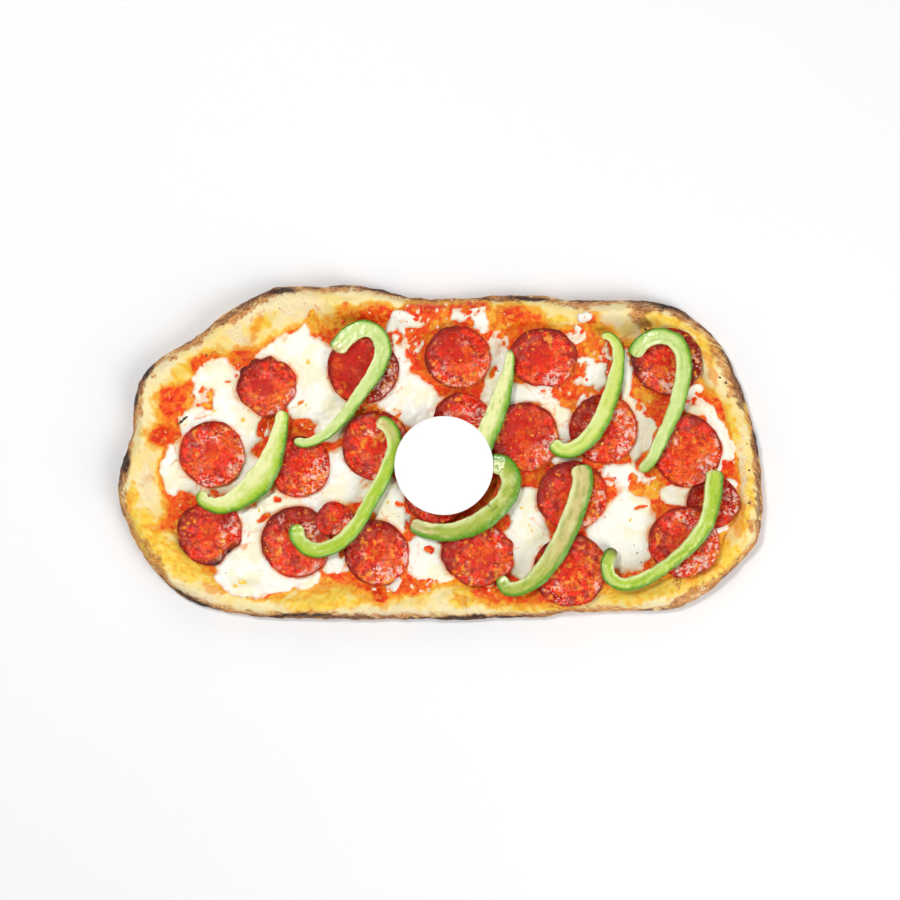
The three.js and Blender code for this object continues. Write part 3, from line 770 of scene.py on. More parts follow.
def speck_look(name, colour, roughness):
    look = Look(name, Roughness=roughness)
    look.colour(look.grains(look.tint(), colour, 0.8, 3, 0.35, 0.7, 0.3))
    look.bump(0.6, 2, 0.6, 0.1, 0.4)
    return look.material


# ---- The bread -------------------------------------------------------------------------------

CRUST_CORNERS = 1000
UNDER_SHARES = [0.03, 0.35, 0.7, 0.86]  # rings under the bread, inside the first at its edge
EDGE_RINGS = [  # inset and height of the rings round the lower edge
    (11, 0), (7.5, 0.05), (5, 0.35), (3.2, 0.95), (1.9, 1.8), (0.9, 2.9), (0.3, 4.1),
]
TOP_INSETS = [0, 0.1, 0.3, 0.6, 1.0, 1.5, 2.1, 2.8, *np.arange(3.4, 28, 0.62)]
MIDDLE_SHARES = 0.97 * np.array([24, 20, 15, 10, 5, 1]) / 24  # rings inside the last of those
BLISTER_TONE = 2.2  # how strongly the blisters' tops are browned


def crust_rings():
    """Rings from the middle of the underside, round the edge, to the middle of the top."""
    angle = full_turn(CRUST_CORNERS)
    insets, low = np.array(EDGE_RINGS).T
    radii = edge_reach(angle) - np.outer([*insets, *TOP_INSETS], slant(angle))
    under, middle = np.outer(UNDER_SHARES, radii[0]), np.outer(MIDDLE_SHARES, radii[-1])
    radii = np.concatenate([under, radii, middle])
    x, y = radii * np.cos(angle), radii * np.sin(angle)
    z = dough(x, y)
    low = np.concatenate([np.zeros(len(under)), low])
    z[:len(low)] = low[:, None]
    return np.stack([x, y, z], -1)


def roughened(points):
    """The side's dents and wrinkles, pushed along the radius, and fine grain on top."""
    x, y, z = points[..., 0], points[..., 1], points[..., 2]
    side = 1 - ease(inset_at(x, y), 1, 9)
    dent = 0.9 * fractal(x + 1.7 * z, y - 1.3 * z, 6, 51) * side
    fine = 0.22 * fractal(x, y, 2.4, 53) * ease(z, 1, 6)
    wider = 1 + dent / np.hypot(x, y)
    return np.stack([x * wider, y * wider, z + fine], -1)


def dough_layers(x, y, inset, broad, mid, fine):
    """The dough's own colours, gold where it is oily or near sauce, and where flour lies."""
    out = border_distance(x + 1.8 * noise(x, y, 6, 61), y + 1.8 * noise(x, y, 6, 62), SAUCE_BORDER)
    out = np.maximum(out, 4 * blob_field(x, y, SAUCE_PATCHES, 4, 76))
    gold = ease(blob_field(x, y, GOLD, 5, 66) + 0.6 * mid + 0.3 * fine, -0.15, 0.45)
    flour = ease(blob_field(x, y, FLOUR, 5, 68) + 0.8 * fine, -0.1, 0.6)
    stain = ease(blob_field(x, y, STAIN, 4, 67) + 0.4 * mid + 0.2 * fine, -0.1, 0.5)
    blister = ease(blistered(x, y, [BLISTER_TONE] * BLISTER_COUNT), 0.5, 1.6)
    oily = np.maximum(gold, ease(out + 2.5 * mid, -5, -1))
    layers = [
        (PALE_DOUGH, ease(broad + 0.6 * mid, -0.25, 0.3)),
        (GOLDEN, 0.35 * ease(inset, 4, 10) * ease(mid - broad + 0.3 * fine, 0.1, 0.6)),
        (GOLDEN, 0.9 * gold),
        (GOLDEN, 0.85 * ease(out + 2.5 * mid + fine, -4, -0.8)),
        (AMBER, 0.7 * ease(out + 2 * mid, -2, -0.2)),
        (FLOURED, 0.85 * flour),
        (AMBER, 0.7 * stain),
        (TOASTED, 0.28 * blister * ease(mid + fine, 0.0, 0.6)),
        (AMBER, 0.5 * oily * ease(fine + 0.5 * mid, 0.05, 0.5)),
        (PALE_DOUGH, 0.22 * oily * ease(-fine, 0.15, 0.5)),
    ]
    return layers, flour


def oven_layers(x, y, z, inset, broad, mid, fine):
    """Toast, scorch, the dark edge and underside and char, and where it is toasted or charred."""
    band = 1 - ease(inset + 2.4 * mid + 1.5 * broad, 1.4, 4.8)
    toast = ease(blob_field(x, y, TOAST, 4, 69) + 0.5 * fine + 0.5 * mid, -0.05, 0.6)
    baked = np.maximum(0.9 * toast, band)
    scorch = ease(blob_field(x, y, SCORCH, 4, 71) + 0.9 * fine + 0.4 * mid, -0.2, 0.5)
    line = 1 - ease(inset + 0.8 * fine - 0.6 * scorch, 1.1, 2.2)
    line = line * np.maximum(0.6 * ease(mid + 0.7 * broad, -0.1, 0.3), scorch)
    under = 1 - ease(z, 0.02, 0.6)
    burn = blob_field(x, y, CHAR, 2.5, 70) + 0.5 * fine
    char = ease(burn, -0.1, 0.25)
    layers = [
        (TOASTED, 0.95 * baked * ease(fine + mid, -0.9, -0.3)),
        (BAKED, 0.6 * baked * ease(fine + 0.3 * mid, 0.1, 0.4)),
        (BAKED, 0.75 * scorch),
        (CRUSTED, 0.5 * scorch * ease(fine, 0.15, 0.45)),
        (CRUSTED, 0.75 * line),
        (BAKED, 0.7 * (1 - ease(z + 1.5 * mid, 1.0, 5.5)) * (1 - ease(inset, 4, 9))),
        (TOASTED, 0.9 * under),
        (BAKED, under * ease(mid + fine, 0, 0.4)),
        (BAKED, 0.8 * ease(burn, -1.4, 0.0)),
        (BURNT, 0.95 * char),
    ]
    return layers, baked, char


def crust_tint(points):
    """Colours, and in the fourth column where the dough is gritty from the oven."""
    x, y, z = points.T
    inset = inset_at(x, y)
    broad = fractal(x, y, 18, 63)
    mid = fractal(x, y, 5, 64)
    fine = fractal(x + z, y - z, 1.8, 65, 2)
    soft, flour = dough_layers(x, y, inset, broad, mid, fine)
    hard, baked, char = oven_layers(x, y, z, inset, broad, mid, fine)
    grit = np.clip(baked + 0.3 * flour * ease(fine + mid, -0.5, 0.4), 0, 1)
    grit = grit * (1 - char) * ease(z, 3, 7)
    return np.concatenate([layered(CREAM, *soft, *hard), grit[:, None]], 1)


def make_crust():
    body = loft(roughened(crust_rings()))
    piece("crust", body, crust_look(), crust_tint(body[0]), ["crust"])


# ---- Slices of salami ------------------------------------------------------------------------

SLICE_THICKNESS = 1.5
SLICE_CORNERS = 132
SLICE_COUNT = 22

# Rings of a slice from its middle on: share of the reach, and lift as a share of the thickness.
SLICE_TOP = [(share, 1.0) for share in np.linspace(0.015, 0.955, 30)]
SLICE_RIM = [(0.975, 0.96), (0.99, 0.84), (0.998, 0.66), (1.0, 0.45), (0.995, 0.22), (0.98, 0.06)]
SLICE_UNDERSIDE = [(0.94, 0.0), (0.7, 0.0), (0.4, 0.0), (0.03, 0.0)]

SCALLOPED = 1  # the slice whose edge is wavy round one angle
SCALLOP_ANGLE = 1.9
SCALLOP_DEPTH = 0.05
SCALLOP_WAVES = 11
BITTEN = 3  # the slice whose edge is bitten in round one angle
BITE_ANGLE = math.radians(-44)
BITE_DEPTH = 0.13
LIT_SIDE = math.degrees(math.atan2(-0.6, 0.8))  # the lit side: painted glints and pale grains of fat lie thickest here, painted shade on the other side

# How far each slice's edge wanders, as a share of its reach.
PLAIN_LOBES = 0.038
LOBES = {1: 0.08, 2: 0.045, 3: 0.07, 8: 0.09, 12: 0.05, 15: 0.075, 17: 0.07, 18: 0.04, 22: 0.05}

# Sides of slices that are charred or lie in shade: direction in degrees, and how deeply.
CHARRED = {1: (120, 0.75), 3: (-64, 1.0), 7: (150, 0.3), 12: (35, 0.6), 17: (175, 0.85)}
SHADED = {
    5: (-20, 0.8), 7: (60, 0.6), 13: (180, 0.8), 16: (160, 0.5), 17: (15, 0.9), 18: (20, 0.5),
}

# Oil lying in the dish: its middle and radius, as shares of the slice, and strength.
PLAIN_POOL = (0, 0, 0.25, 0.4)
POOLED = {
    1: (-0.05, -0.05, 0.42, 1.0), 2: (-0.1, 0.15, 0.3, 0.7), 5: (-0.22, 0.05, 0.75, 1.0),
    9: (0.1, 0, 0.3, 0.6), 10: (-0.02, 0.25, 0.5, 0.9), 12: (-0.1, 0.1, 0.4, 0.6),
    13: (-0.1, 0.1, 0.7, 0.8), 15: (0.1, -0.2, 0.35, 0.6), 16: (0.1, 0, 0.3, 0.5),
    19: (0, 0, 0.3, 0.4), 22: (0, 0, 0.3, 0.4),
}


class Slice:
    """A slice, with the centre, half sizes and resting plane of its CAD node."""

    def __init__(self, number):
        self.number = number
        self.node = f"pepperoni_{number:02d}"
        low, high = node_box(self.node)
        self.x, self.y = (low + high)[:2] / 2
        self.half_x, self.half_y = (high - low)[:2] / 2
        self.fit()

    def fit(self):
        """The plane of the node's underside, and how much it turns up toward its edge."""
        shares = np.array([0.05, 0.4, 0.7, 0.88])
        share, turn = [a.ravel() for a in np.meshgrid(shares, full_turn(12))]
        dx = share * self.half_x * np.cos(turn)
        dy = share * self.half_y * np.sin(turn)
        found = undersides(self.node, np.stack([self.x + dx, self.y + dy], -1))
        good = ~np.isnan(found)
        terms = np.stack([np.ones_like(dx), dx, dy, share ** 3], -1)
        self.plane = np.linalg.lstsq(terms[good], found[good], rcond=None)[0]

    def reach(self, angle):
        """Distance from the centre to the edge."""
        c, s = np.cos(angle), np.sin(angle)
        plain = self.half_x * self.half_y / np.hypot(self.half_y * c, self.half_x * s)
        lobes = LOBES.get(self.number, PLAIN_LOBES)
        sway = fractal(30 * c + 100 * self.number, 30 * s, 16, 200 + self.number, 3)
        reach = plain * (0.99 + 1.3 * lobes * sway)
        if self.number == SCALLOPED:
            top = 1 - ease(turned_away(angle, SCALLOP_ANGLE), 0.5, 1.3)
            reach = reach * (1 - SCALLOP_DEPTH * top * (1 + np.cos(SCALLOP_WAVES * angle)))
        if self.number == BITTEN:
            reach = reach * (1 - BITE_DEPTH * (1 - ease(turned_away(angle, BITE_ANGLE), 0.1, 0.5)))
        return reach

    def pool(self, x, y):
        """1 where oil lies in the dish."""
        px, py, radius, strength = POOLED.get(self.number, PLAIN_POOL)
        dx, dy = self.steps(x, y)
        ragged = np.hypot(dx - px, dy - py) + 0.12 * noise(x, y, 5, 250 + self.number)
        return strength * (1 - ease(ragged, 0.7 * radius, 1.1 * radius))

    def steps(self, x, y):
        """Steps from the centre, as shares of the half sizes."""
        return (x - self.x) / self.half_x, (y - self.y) / self.half_y

    def toward(self, x, y, degrees):
        """How far places lie from the centre in one direction."""
        dx, dy = self.steps(x, y)
        return dx * math.cos(math.radians(degrees)) + dy * math.sin(math.radians(degrees))

    def beside(self, x, y, degrees):
        """How far places lie off a direction from the centre, in radians."""
        dx, dy = self.steps(x, y)
        return turned_away(np.arctan2(dy, dx), math.radians(degrees))

    def share(self, x, y):
        """0 at the centre, 1 at the edge."""
        dx, dy = x - self.x, y - self.y
        return np.hypot(dx, dy) / self.reach(np.arctan2(dy, dx))

    def under(self, x, y):
        """Height of the underside."""
        a, b, c, d = self.plane
        return a + b * (x - self.x) + c * (y - self.y) + d * np.minimum(self.share(x, y), 1.1) ** 3


SLICES = [Slice(number) for number in range(1, SLICE_COUNT + 1)]


def slice_rings(one):
    """Rings from under the slice, round its edge and over the top."""
    angle = full_turn(SLICE_CORNERS)
    share, lift = np.array((SLICE_TOP + SLICE_RIM + SLICE_UNDERSIDE)[::-1]).T[..., None]
    x = one.x + share * one.reach(angle) * np.cos(angle)
    y = one.y + share * one.reach(angle) * np.sin(angle)
    curl = 0.8 * fractal(x, y, 13, 300 + one.number, 2) * ease(share, 0.3, 1)
    dish = ease(share, 0.5, 1.0) - 0.35
    bumps = 0.34 * fractal(x, y, 3.4, 301, 3) + 0.16 * noise(x, y, 1.4, 302)
    bumps = bumps * (0.4 + 0.6 * ease(share, 0.2, 0.55)) * (1 - 0.85 * one.pool(x, y))
    z = one.under(x, y) + curl + dish + SLICE_THICKNESS * lift + bumps * ease(lift, 0.2, 1)
    return np.stack([x, y, z], -1)


def meat_layers(one, x, y, share, mid, lit):
    """The reds of a slice with painted shade, deeper red away from the light and maroon on its
    shaded sides, its spots of fat and the oil in its dish.
    """
    fine = fractal(x, y, 2.0, 312)
    coarse = fractal(x, y, 2.8, 313, 2)
    degrees, depth = SHADED.get(one.number, (0, 0))
    shade = one.toward(x, y, degrees)
    spots = ease(noise(x, y, 2.2, 314), 0.42, 0.56) * ease(fractal(x, y, 9, 315), -0.05, 0.15)
    pool = one.pool(x, y)
    # The deep red against lit and the maroon are painted shade; the lit term in the orange is
    # painted light.
    return [
        (SALAMI_DEEP, 0.9 * ease(coarse - 0.2 * lit, 0.0, 0.22) * ease(share, 0.2, 0.55)),
        (SALAMI_ORANGE, 0.85 * ease(mid + 0.6 * fine + 0.2 * lit, 0.0, 0.4)),
        (SALAMI_DEEP, 0.9 * ease(-lit + mid, 0.25, 0.8) * ease(share, 0.3, 0.8)),
        (SALAMI_MAROON, depth * ease(shade + 0.25 * mid, 0.25, 0.6)),
        (SALAMI_FAT, 0.9 * spots),
        (SALAMI_POOL, 0.92 * pool),
        (SALAMI_ORANGE, 0.5 * pool * ease(mid, 0.1, 0.3)),
    ]


def slice_tint(one, points):
    """Colours with painted shade and painted glints, and in the fourth column where pale grains of
    fat and painted glints lie close together.
    """
    x, y = points[:, 0], points[:, 1]
    share = one.share(x, y)
    mid = fractal(x, y, 6, 311 + one.number)
    lit = one.toward(x, y, LIT_SIDE) + 0.5 * noise(x, y, 40, 330 + one.number)
    # The dark rim is the slice's own edge, painted wider and darker on the side away from the light
    # as painted shade.
    width = 0.06 * (1 - lit)
    rim = ease(share + 0.04 * mid, 0.93 - width, 0.985 - 0.3 * width)
    degrees, depth = CHARRED.get(one.number, (0, 0))
    charred = depth * (1 - ease(one.beside(x, y, degrees), 0.3, 1.2))
    charred = charred * ease(share + 0.15 * mid, 0.72, 0.95)
    # Pale grains: partly fat, partly painted glints, thickest toward the lit side and the edge.
    patch = fractal(x, y, 8, 340 + one.number, 2)
    grains = 0.08 + 0.92 * ease(lit * share + 1.3 * patch, 0.2, 0.75)
    grains = grains * ease(share, 0.15, 0.45) * (1 - 0.9 * one.pool(x, y))
    grains = grains * (1 - rim) * (1 - charred)
    fat_and_glint_flakes = ease(noise(x, y, 1.9, 316) + 0.5 * noise(x, y, 1.0, 317), 0.1, 0.4) * grains
    colour = layered(
        SALAMI_RED, *meat_layers(one, x, y, share, mid, lit),
        (SALAMI_EDGE, 0.85 * rim * (0.45 + 0.55 * ease(mid - 0.4 * lit, -0.3, 0.3))),
        (SALAMI_CHAR, charred), (SALAMI_FAT_AND_GLINT, 0.9 * fat_and_glint_flakes),
    )
    return np.concatenate([colour, grains[:, None]], 1)


def make_slices():
    look = salami_look()
    for one in SLICES:
        body = loft(slice_rings(one))
        tint = slice_tint(one, body[0])
        piece(f"salami_{one.number:02d}", body, look, tint, [one.node])


# ---- Sauce and mozzarella --------------------------------------------------------------------

SAUCE_STEP = 1.0
CHEESE_STEP = 0.85
SAUCE_DEPTH = 0.9
CHEESE_DEPTH = 2.0
SLICE_NEAR = 26  # no slice reaches as far as this from its middle
SKIRT_NEAR = 30  # nor does the sauce that leans against it
SKIRT_DROP = 1.2  # how far under a slice the sauce leans against it
SKIRT_SLOPE = 0.75
SLICE_SPREAD = 1.02  # how far the sauce is held down round a slice, as a share of its reach
THINNEST = 0.3  # of the sauce and the mozzarella
BITS = 6  # of mozzarella that lie apart, each a CAD node of its own


def grid(step):
    x = np.arange(-HALF_LENGTH, HALF_LENGTH, step)
    y = np.arange(-HALF_WIDTH, HALF_WIDTH, step)
    return np.meshgrid(x, y)


def by_slices(x, y, start, near, choose, value):
    """The lowest or highest value that a slice gives each place near it, or the start."""
    best = np.full(np.shape(x), start)
    for one in SLICES:
        close = (np.abs(x - one.x) < near) & (np.abs(y - one.y) < near)
        best[close] = choose(best[close], value(one, x[close], y[close]))
    return best


def slice_ceiling(x, y):
    """Underside of the lowest slice over each place, or FAR."""
    def underside(one, x, y):
        return np.where(one.share(x, y) < SLICE_SPREAD, one.under(x, y), FAR)
    return by_slices(x, y, FAR, SLICE_NEAR, np.minimum, underside)


def slice_gap(x, y):
    """Distance to the nearest slice, below 0 under it, or FAR."""
    def gap(one, x, y):
        return (one.share(x, y) - 1) * one.half_x
    return by_slices(x, y, FAR, SLICE_NEAR, np.minimum, gap)


def slice_skirt(x, y):
    """Height of the sauce that leans against the slices, or -FAR."""
    def leaning(one, x, y):
        gap = np.maximum(one.share(x, y) - 1, 0) * one.half_x
        return one.under(x, y) - SKIRT_DROP - SKIRT_SLOPE * gap
    return by_slices(x, y, -FAR, SKIRT_NEAR, np.maximum, leaning)


def under_slice(x, y):
    return slice_ceiling(x, y) < FAR


def sauce_depth(x, y):
    """Thickness of the sauce, below 0 outside it."""
    frayed_x = x + 2.2 * fractal(x, y, 9, 71)
    frayed_y = y + 2.2 * fractal(x, y, 9, 72)
    inside = border_distance(frayed_x, frayed_y, SAUCE_BORDER)
    patches = 4 * blob_field(x, y, SAUCE_PATCHES, 4, 76)
    inside = np.minimum(np.maximum(inside, patches), inset_at(x, y) - 2.5)
    pulp = 0.4 * fractal(x, y, 4.5, 73) + 0.4 * noise(x, y, 2.2, 74)
    lumps = 0.9 * ease(blob_field(x, y, TOMATO, 3, 75), -0.1, 0.7)
    body = np.clip(inside / 3.0, -0.5, 1)
    return SAUCE_DEPTH * body + (pulp + lumps) * ease(inside, 0, 4)


def shred_field(x, y):
    return blob_field(x, y, SHREDDED, 4, 86)


def shredding(x, y):
    """1 where the mozzarella lies in shreds."""
    return ease(shred_field(x, y), -0.2, 0.5)


def cheese_body(x, y):
    """1 on the full mozzarella, falling to 0 at its edge and below 0 beside it."""
    field = blob_field(x, y, CHEESE_BLOBS, 3.2, 81)
    field = np.minimum(field, 0.35 - blob_field(x, y, CHEESE_GAPS, 2.5, 88))
    shreds = shredding(x, y)
    field = np.clip(field, -0.15 - 5 * (1 - shreds), 0.45 + 5 * (1 - shreds))
    torn = 1.2 * fractal(x, y, 2.8, 87, 2) - 0.22
    field = field + 0.16 * fractal(x, y, 5, 83) + shreds * torn - 0.02
    field = np.minimum(field, (inset_at(x, y) - 6) / 4)
    return np.where(field > 0, 1 - np.exp(-6 * np.maximum(field, 0)), 6 * field)


def cheese_height(x, y):
    """Height of the mozzarella's top."""
    body = cheese_body(x, y)
    base = dough(x, y) + np.clip(sauce_depth(x, y), 0, SAUCE_DEPTH)
    folds = 0.5 * fractal(x, y, 11, 84) + 0.2 * fractal(x, y, 4, 85)
    height = base + CHEESE_DEPTH * np.clip(body, -0.5, 1) + folds * np.clip(body, 0, 1)
    height = np.maximum(height, slice_skirt(x, y) + 0.8 * np.clip(3 * body, -1, 1))
    return np.minimum(height, slice_ceiling(x, y) + 0.45)


def sauce_height(x, y):
    depth = sauce_depth(x, y)
    height = np.maximum(dough(x, y) + depth, slice_skirt(x, y) + 0.3 * noise(x, y, 3, 77))
    return np.minimum(height, slice_ceiling(x, y) + 0.3)


def poured(step, amount_at, height_at, least, sunk):
    """A closed layer wherever its amount is over the least, and the amount at its points."""
    x, y = grid(step)
    amount = amount_at(x, y)
    top = height_at(x, y)
    there = amount > least
    kept = there[:-1, :-1] | there[:-1, 1:] | there[1:, 1:] | there[1:, :-1]
    bottom = np.minimum(dough(x, y) - sunk, top - THINNEST)
    points, faces, used = between(x, y, top, bottom, kept)
    return points, faces, np.tile(amount.ravel(), 2)[used]


def make_sauce():
    points, faces, thick = poured(SAUCE_STEP, sauce_depth, sauce_height, -0.3, 1.2)
    x, y = points[:, 0], points[:, 1]
    mid = fractal(x, y, 6, 91)
    fine = fractal(x, y, 2.6, 94, 2)
    oil = ease(blob_field(x, y, OIL_PATCHES, 4, 92) + 0.4 * mid, -0.2, 0.5)
    thin = 1 - ease(thick + 0.3 * mid, 0.15, 0.95)
    clear = 0.8 * (1 - ease(thick + 0.2 * mid, 0.1, 0.6))
    pulp = ease(blob_field(x, y, TOMATO, 3, 75), -0.1, 0.6)
    colour = layered(
        SAUCE_RED,
        (SAUCE_ORANGE, 0.8 * ease(mid, 0.1, 0.5)),
        (SAUCE_ORANGE, 0.85 * np.maximum(thin, oil)),
        (SAUCE_YELLOW, np.maximum(clear, 0.8 * oil * ease(mid + fine, -0.4, 0.15))),
        (SAUCE_RED, 0.85 * pulp),
        (SAUCE_DARK, 0.8 * ease(-fine, 0.0, 0.4) * np.maximum(pulp, 0.4)),
        (SAUCE_ORANGE, 0.5 * ease(fine, 0.15, 0.5)),
    )
    piece("sauce", (points, faces), sauce_look(), colour)


def make_cheese():
    points, faces, full = poured(CHEESE_STEP, cheese_body, cheese_height, -0.35, 0.8)
    x, y = points[:, 0], points[:, 1]
    mid = fractal(x, y, 9, 95)
    fine = fractal(x, y, 3, 96)
    gap = slice_gap(x, y)
    halo = 1 - ease(gap + 0.8 * fine, 0.2, 1.7)
    vein = 1 - ease(np.abs(fractal(x, y, 13, 97, 3) + 0.08 * fine), 0.01, 0.045)
    vein = vein * (1 - ease(gap, 2, 9)) * ease(noise(x, y, 16, 98), -0.2, 0.3)
    colour = layered(
        CHEESE_WHITE,
        (CHEESE_CREAM, 0.8 * ease(mid, -0.1, 0.4)),
        (CHEESE_PINK, 0.75 * shredding(x, y) * ease(mid + fine, -0.3, 0.3)),
        (CHEESE_STAIN, 0.75 * (1 - ease(full + 0.4 * fine, 0.1, 0.85))),
        (SAUCE_ORANGE, 0.75 * halo * ease(mid + 0.6 * fine, -0.3, 0.15)),
        (SAUCE_RED, 0.6 * halo * ease(fine, 0.1, 0.4)),
        (CHEESE_STAIN, 0.8 * vein),
        (SAUCE_ORANGE, 0.7 * vein * ease(fine, 0.0, 0.4)),
    )
    nodes = ["mozzarella_sheet"] + [f"mozzarella_bit_{k:02d}" for k in range(1, BITS + 1)]
    piece("mozzarella", (points, faces), cheese_look(), colour, nodes)


# ---- Green pepper ----------------------------------------------------------------------------

STRIP_SECTIONS = 170
STRIP_HEIGHT = 5.6
STREAKS_LONG = 14.0  # streaks that lie one behind the other along a strip
STREAKS_ACROSS = 3.2
TIP_LENGTH = 3.4  # over which a strip's ends are rounded
BEIGE = {2: (0.05, 0), 3: (0.14, 0), 5: (0, 0.2), 8: (0.75, 0)}  # shares from the start, the end
FLECKED = 5
DARK_TIPS = {4: (1, 0), 9: (0, 1)}  # strips with a brown tip: at the start, at the end
PLAIN_ROLL = 0.12
ROLLED = {1: 0.75, 3: 0.35, 5: 0.4, 7: 0.2, 8: 0.2, 9: 0.3}  # how far the outer wall turns up


def smooth_path(places, count):
    """Even steps along a smooth line through the places."""
    points = np.array([to_row(*place) for place in places])
    steps = np.hypot(*np.diff(points, axis=0).T)
    at = np.concatenate([[0], np.cumsum(steps)])
    slopes = np.gradient(points, at, axis=0)
    wanted = np.linspace(0, at[-1], count)
    k = np.clip(np.searchsorted(at, wanted, side="right") - 1, 0, len(at) - 2)
    span = (at[k + 1] - at[k])[:, None]
    t = ((wanted - at[k])[:, None]) / span
    start = (2 * t ** 3 - 3 * t ** 2 + 1) * points[k] + (t ** 3 - 2 * t ** 2 + t) * span * slopes[k]
    end = (3 * t ** 2 - 2 * t ** 3) * points[k + 1] + (t ** 3 - t ** 2) * span * slopes[k + 1]
    return start + end, wanted


def blurred(values, reach):
    """A running mean over so many neighbours on each side."""
    padded = np.pad(values, reach, mode="edge")
    kernel = np.ones(2 * reach + 1) / (2 * reach + 1)
    return np.convolve(padded, kernel, mode="valid")


def strip_floor(node, path):
    """Height of the strip's underside along its line, from its CAD node."""
    found = undersides(node, path)
    good = ~np.isnan(found)
    steps = np.arange(len(path))
    return blurred(blurred(np.interp(steps, steps[good], found[good]), 4), 4)


def section():
    """Corners round a strip's section: -1 inner to 1 skin side, and -1 under to 1 cut face."""
    cut = [(side, 1.0) for side in np.linspace(0.82, -0.88, 14)]
    inner = [(-0.96, 0.92), (-1, 0.7), (-0.98, 0.2), (-0.98, -0.3), (-1, -0.8), (-0.94, -0.97)]
    under = [(side, -1.0) for side in np.linspace(-0.8, 0.7, 5)]
    skin = [(0.86, -0.92), (0.95, -0.65), (1, -0.3), (1.02, 0.1)]
    skin += [(1, 0.45), (0.97, 0.7), (0.91, 0.9)]
    return np.array(cut + inner + under + skin).T


def outward(path):
    """Directions square to a line, toward the outside of its curve, and if that is on its left."""
    along = np.gradient(path, axis=0)
    along = along / np.hypot(along[:, 0], along[:, 1])[:, None]
    bend = np.sum(along[:-1, 0] * along[1:, 1] - along[:-1, 1] * along[1:, 0])
    return -np.sign(bend) * np.stack([-along[:, 1], along[:, 0]], -1), bend < 0


def half_widths(number, at, widths):
    t = at / at[-1]
    half = np.interp(t, [0, 0.5, 1], widths) / 2
    half = half + (widths[1] - (widths[0] + widths[2]) / 2) * 0.12 * np.sin(math.pi * t)
    sway = 0.09 * fractal(at, 50.0 * number, 16, 401) + 0.04 * noise(at, 9.0 * number, 4, 402)
    return half * (1 + sway)


def strip_rings(number, node, places, widths):
    """Sections along a strip and, for each corner, its place in the section and along it."""
    path, at = smooth_path(places, STRIP_SECTIONS)
    across, on_left = outward(path)
    side, rise = [np.tile(row, (STRIP_SECTIONS, 1)) for row in section()]
    half = half_widths(number, at, widths)[:, None]
    floor = strip_floor(node, path)[:, None]
    at = at[:, None]
    from_tip = np.clip(np.minimum(at, at[-1] - at) / TIP_LENGTH, 0, 1)
    closing = 0.25 + 0.75 * np.sqrt(1 - (1 - from_tip) ** 2)
    lateral = side * half * closing
    wave = 0.3 * noise(at, side * 4 + 40.0 * number, 3.5, 403)
    pits = 0.14 * noise(at, lateral + 30.0 * number, 1.5, 404)
    height = STRIP_HEIGHT * (0.5 + 0.5 * rise * (0.6 + 0.4 * closing))
    roll = ROLLED.get(number, PLAIN_ROLL) * STRIP_HEIGHT
    cut = 0.25 * side ** 4 - 0.25 - roll * 0.5 * ((1 + side) / 2) ** 2
    z = floor + height + (cut + pits) * ease(rise, -0.6, 1) + 0.15 * wave
    places = path[:, None] + across[:, None] * (lateral + wave)[..., None]
    rings = np.concatenate([places, z[..., None]], -1)
    sides = np.stack([side, rise, np.broadcast_to(at / at[-1], side.shape)], -1)
    return (rings[:, ::-1], sides[:, ::-1]) if on_left else (rings, sides)


def beige_part(number, t):
    """1 where a strip's flesh has gone beige: near its start or its end."""
    start, end = BEIGE.get(number, (0, 0))
    at_end = ease(t, 0.99 - end, 1.01 - 0.6 * end) * (end > 0)
    return 1 - ease(t, 0.6 * start, start + 0.01) + at_end


def strip_tint(number, points, sides):
    side, rise, t = np.concatenate([sides.reshape(-1, 3), sides[0, :1], sides[-1, :1]]).T
    x, y = points[:, 0], points[:, 1]
    wave = fractal(x, y, 9, 411 + number)
    reach = side + 0.2 * wave + 0.06 * fractal(x, y, 1.8, 412)
    streak = fractal(STREAKS_LONG * t, STREAKS_ACROSS * side + 10.0 * number, 1.0, 413, 3)
    outer = np.maximum(ease(side + 0.06 * wave, 0.68, 0.84),
                       ease(side, 0.5, 0.9) * (1 - ease(rise, -0.2, 0.95)))
    flecks = ease(fractal(x, y, 2.2, 414, 2), 0.42, 0.6) * (number == FLECKED)
    dark_start, dark_end = DARK_TIPS.get(number, (0, 0))
    dark = dark_start * (1 - ease(t, 0.0, 0.05)) + dark_end * ease(t, 0.95, 1.0)
    flesh, rind, shown = STRIP_LOOKS[number]
    return layered(
        flesh,
        (PEPPER_BEIGE, 0.9 * beige_part(number, t + 0.06 * streak)),
        (PEPPER_PITH, 0.75 * ease(-reach, 0.3, 0.95)),
        (rind, 0.95 * ease(reach, 0.95 - 2 * shown, 1.1 - shown)),
        (PEPPER_OLIVE, 0.8 * ease(reach, 0.95 - shown, 1.05 - 0.3 * shown)),
        (PEPPER_SKIN, 0.95 * outer),
        (PEPPER_FLESH, 0.8 * ease(-side, 0.9, 0.97) * (1 - ease(rise, 0.5, 0.9))),
        (PEPPER_PITH, 0.36 * ease(streak, 0.05, 0.6) * (1 - outer)),
        (rind, 0.45 * ease(-streak, 0.05, 0.6) * (1 - outer)),
        (PEPPER_TIP, 0.7 * flecks * (1 - ease(np.abs(t - 0.4), 0.1, 0.3))),
        (PEPPER_TIP, 0.85 * dark),
    )


def make_strips():
    look = pepper_look()
    for number, (places, widths) in enumerate(zip(STRIPS, STRIP_WIDTHS), 1):
        node = f"pepper_strip_{number:02d}"
        rings, sides = strip_rings(number, node, places, widths)
        body = loft(rings)
        tint = strip_tint(number, body[0], sides)
        piece(f"pepper_{number:02d}", body, look, tint, [node])


# ---- The card --------------------------------------------------------------------------------

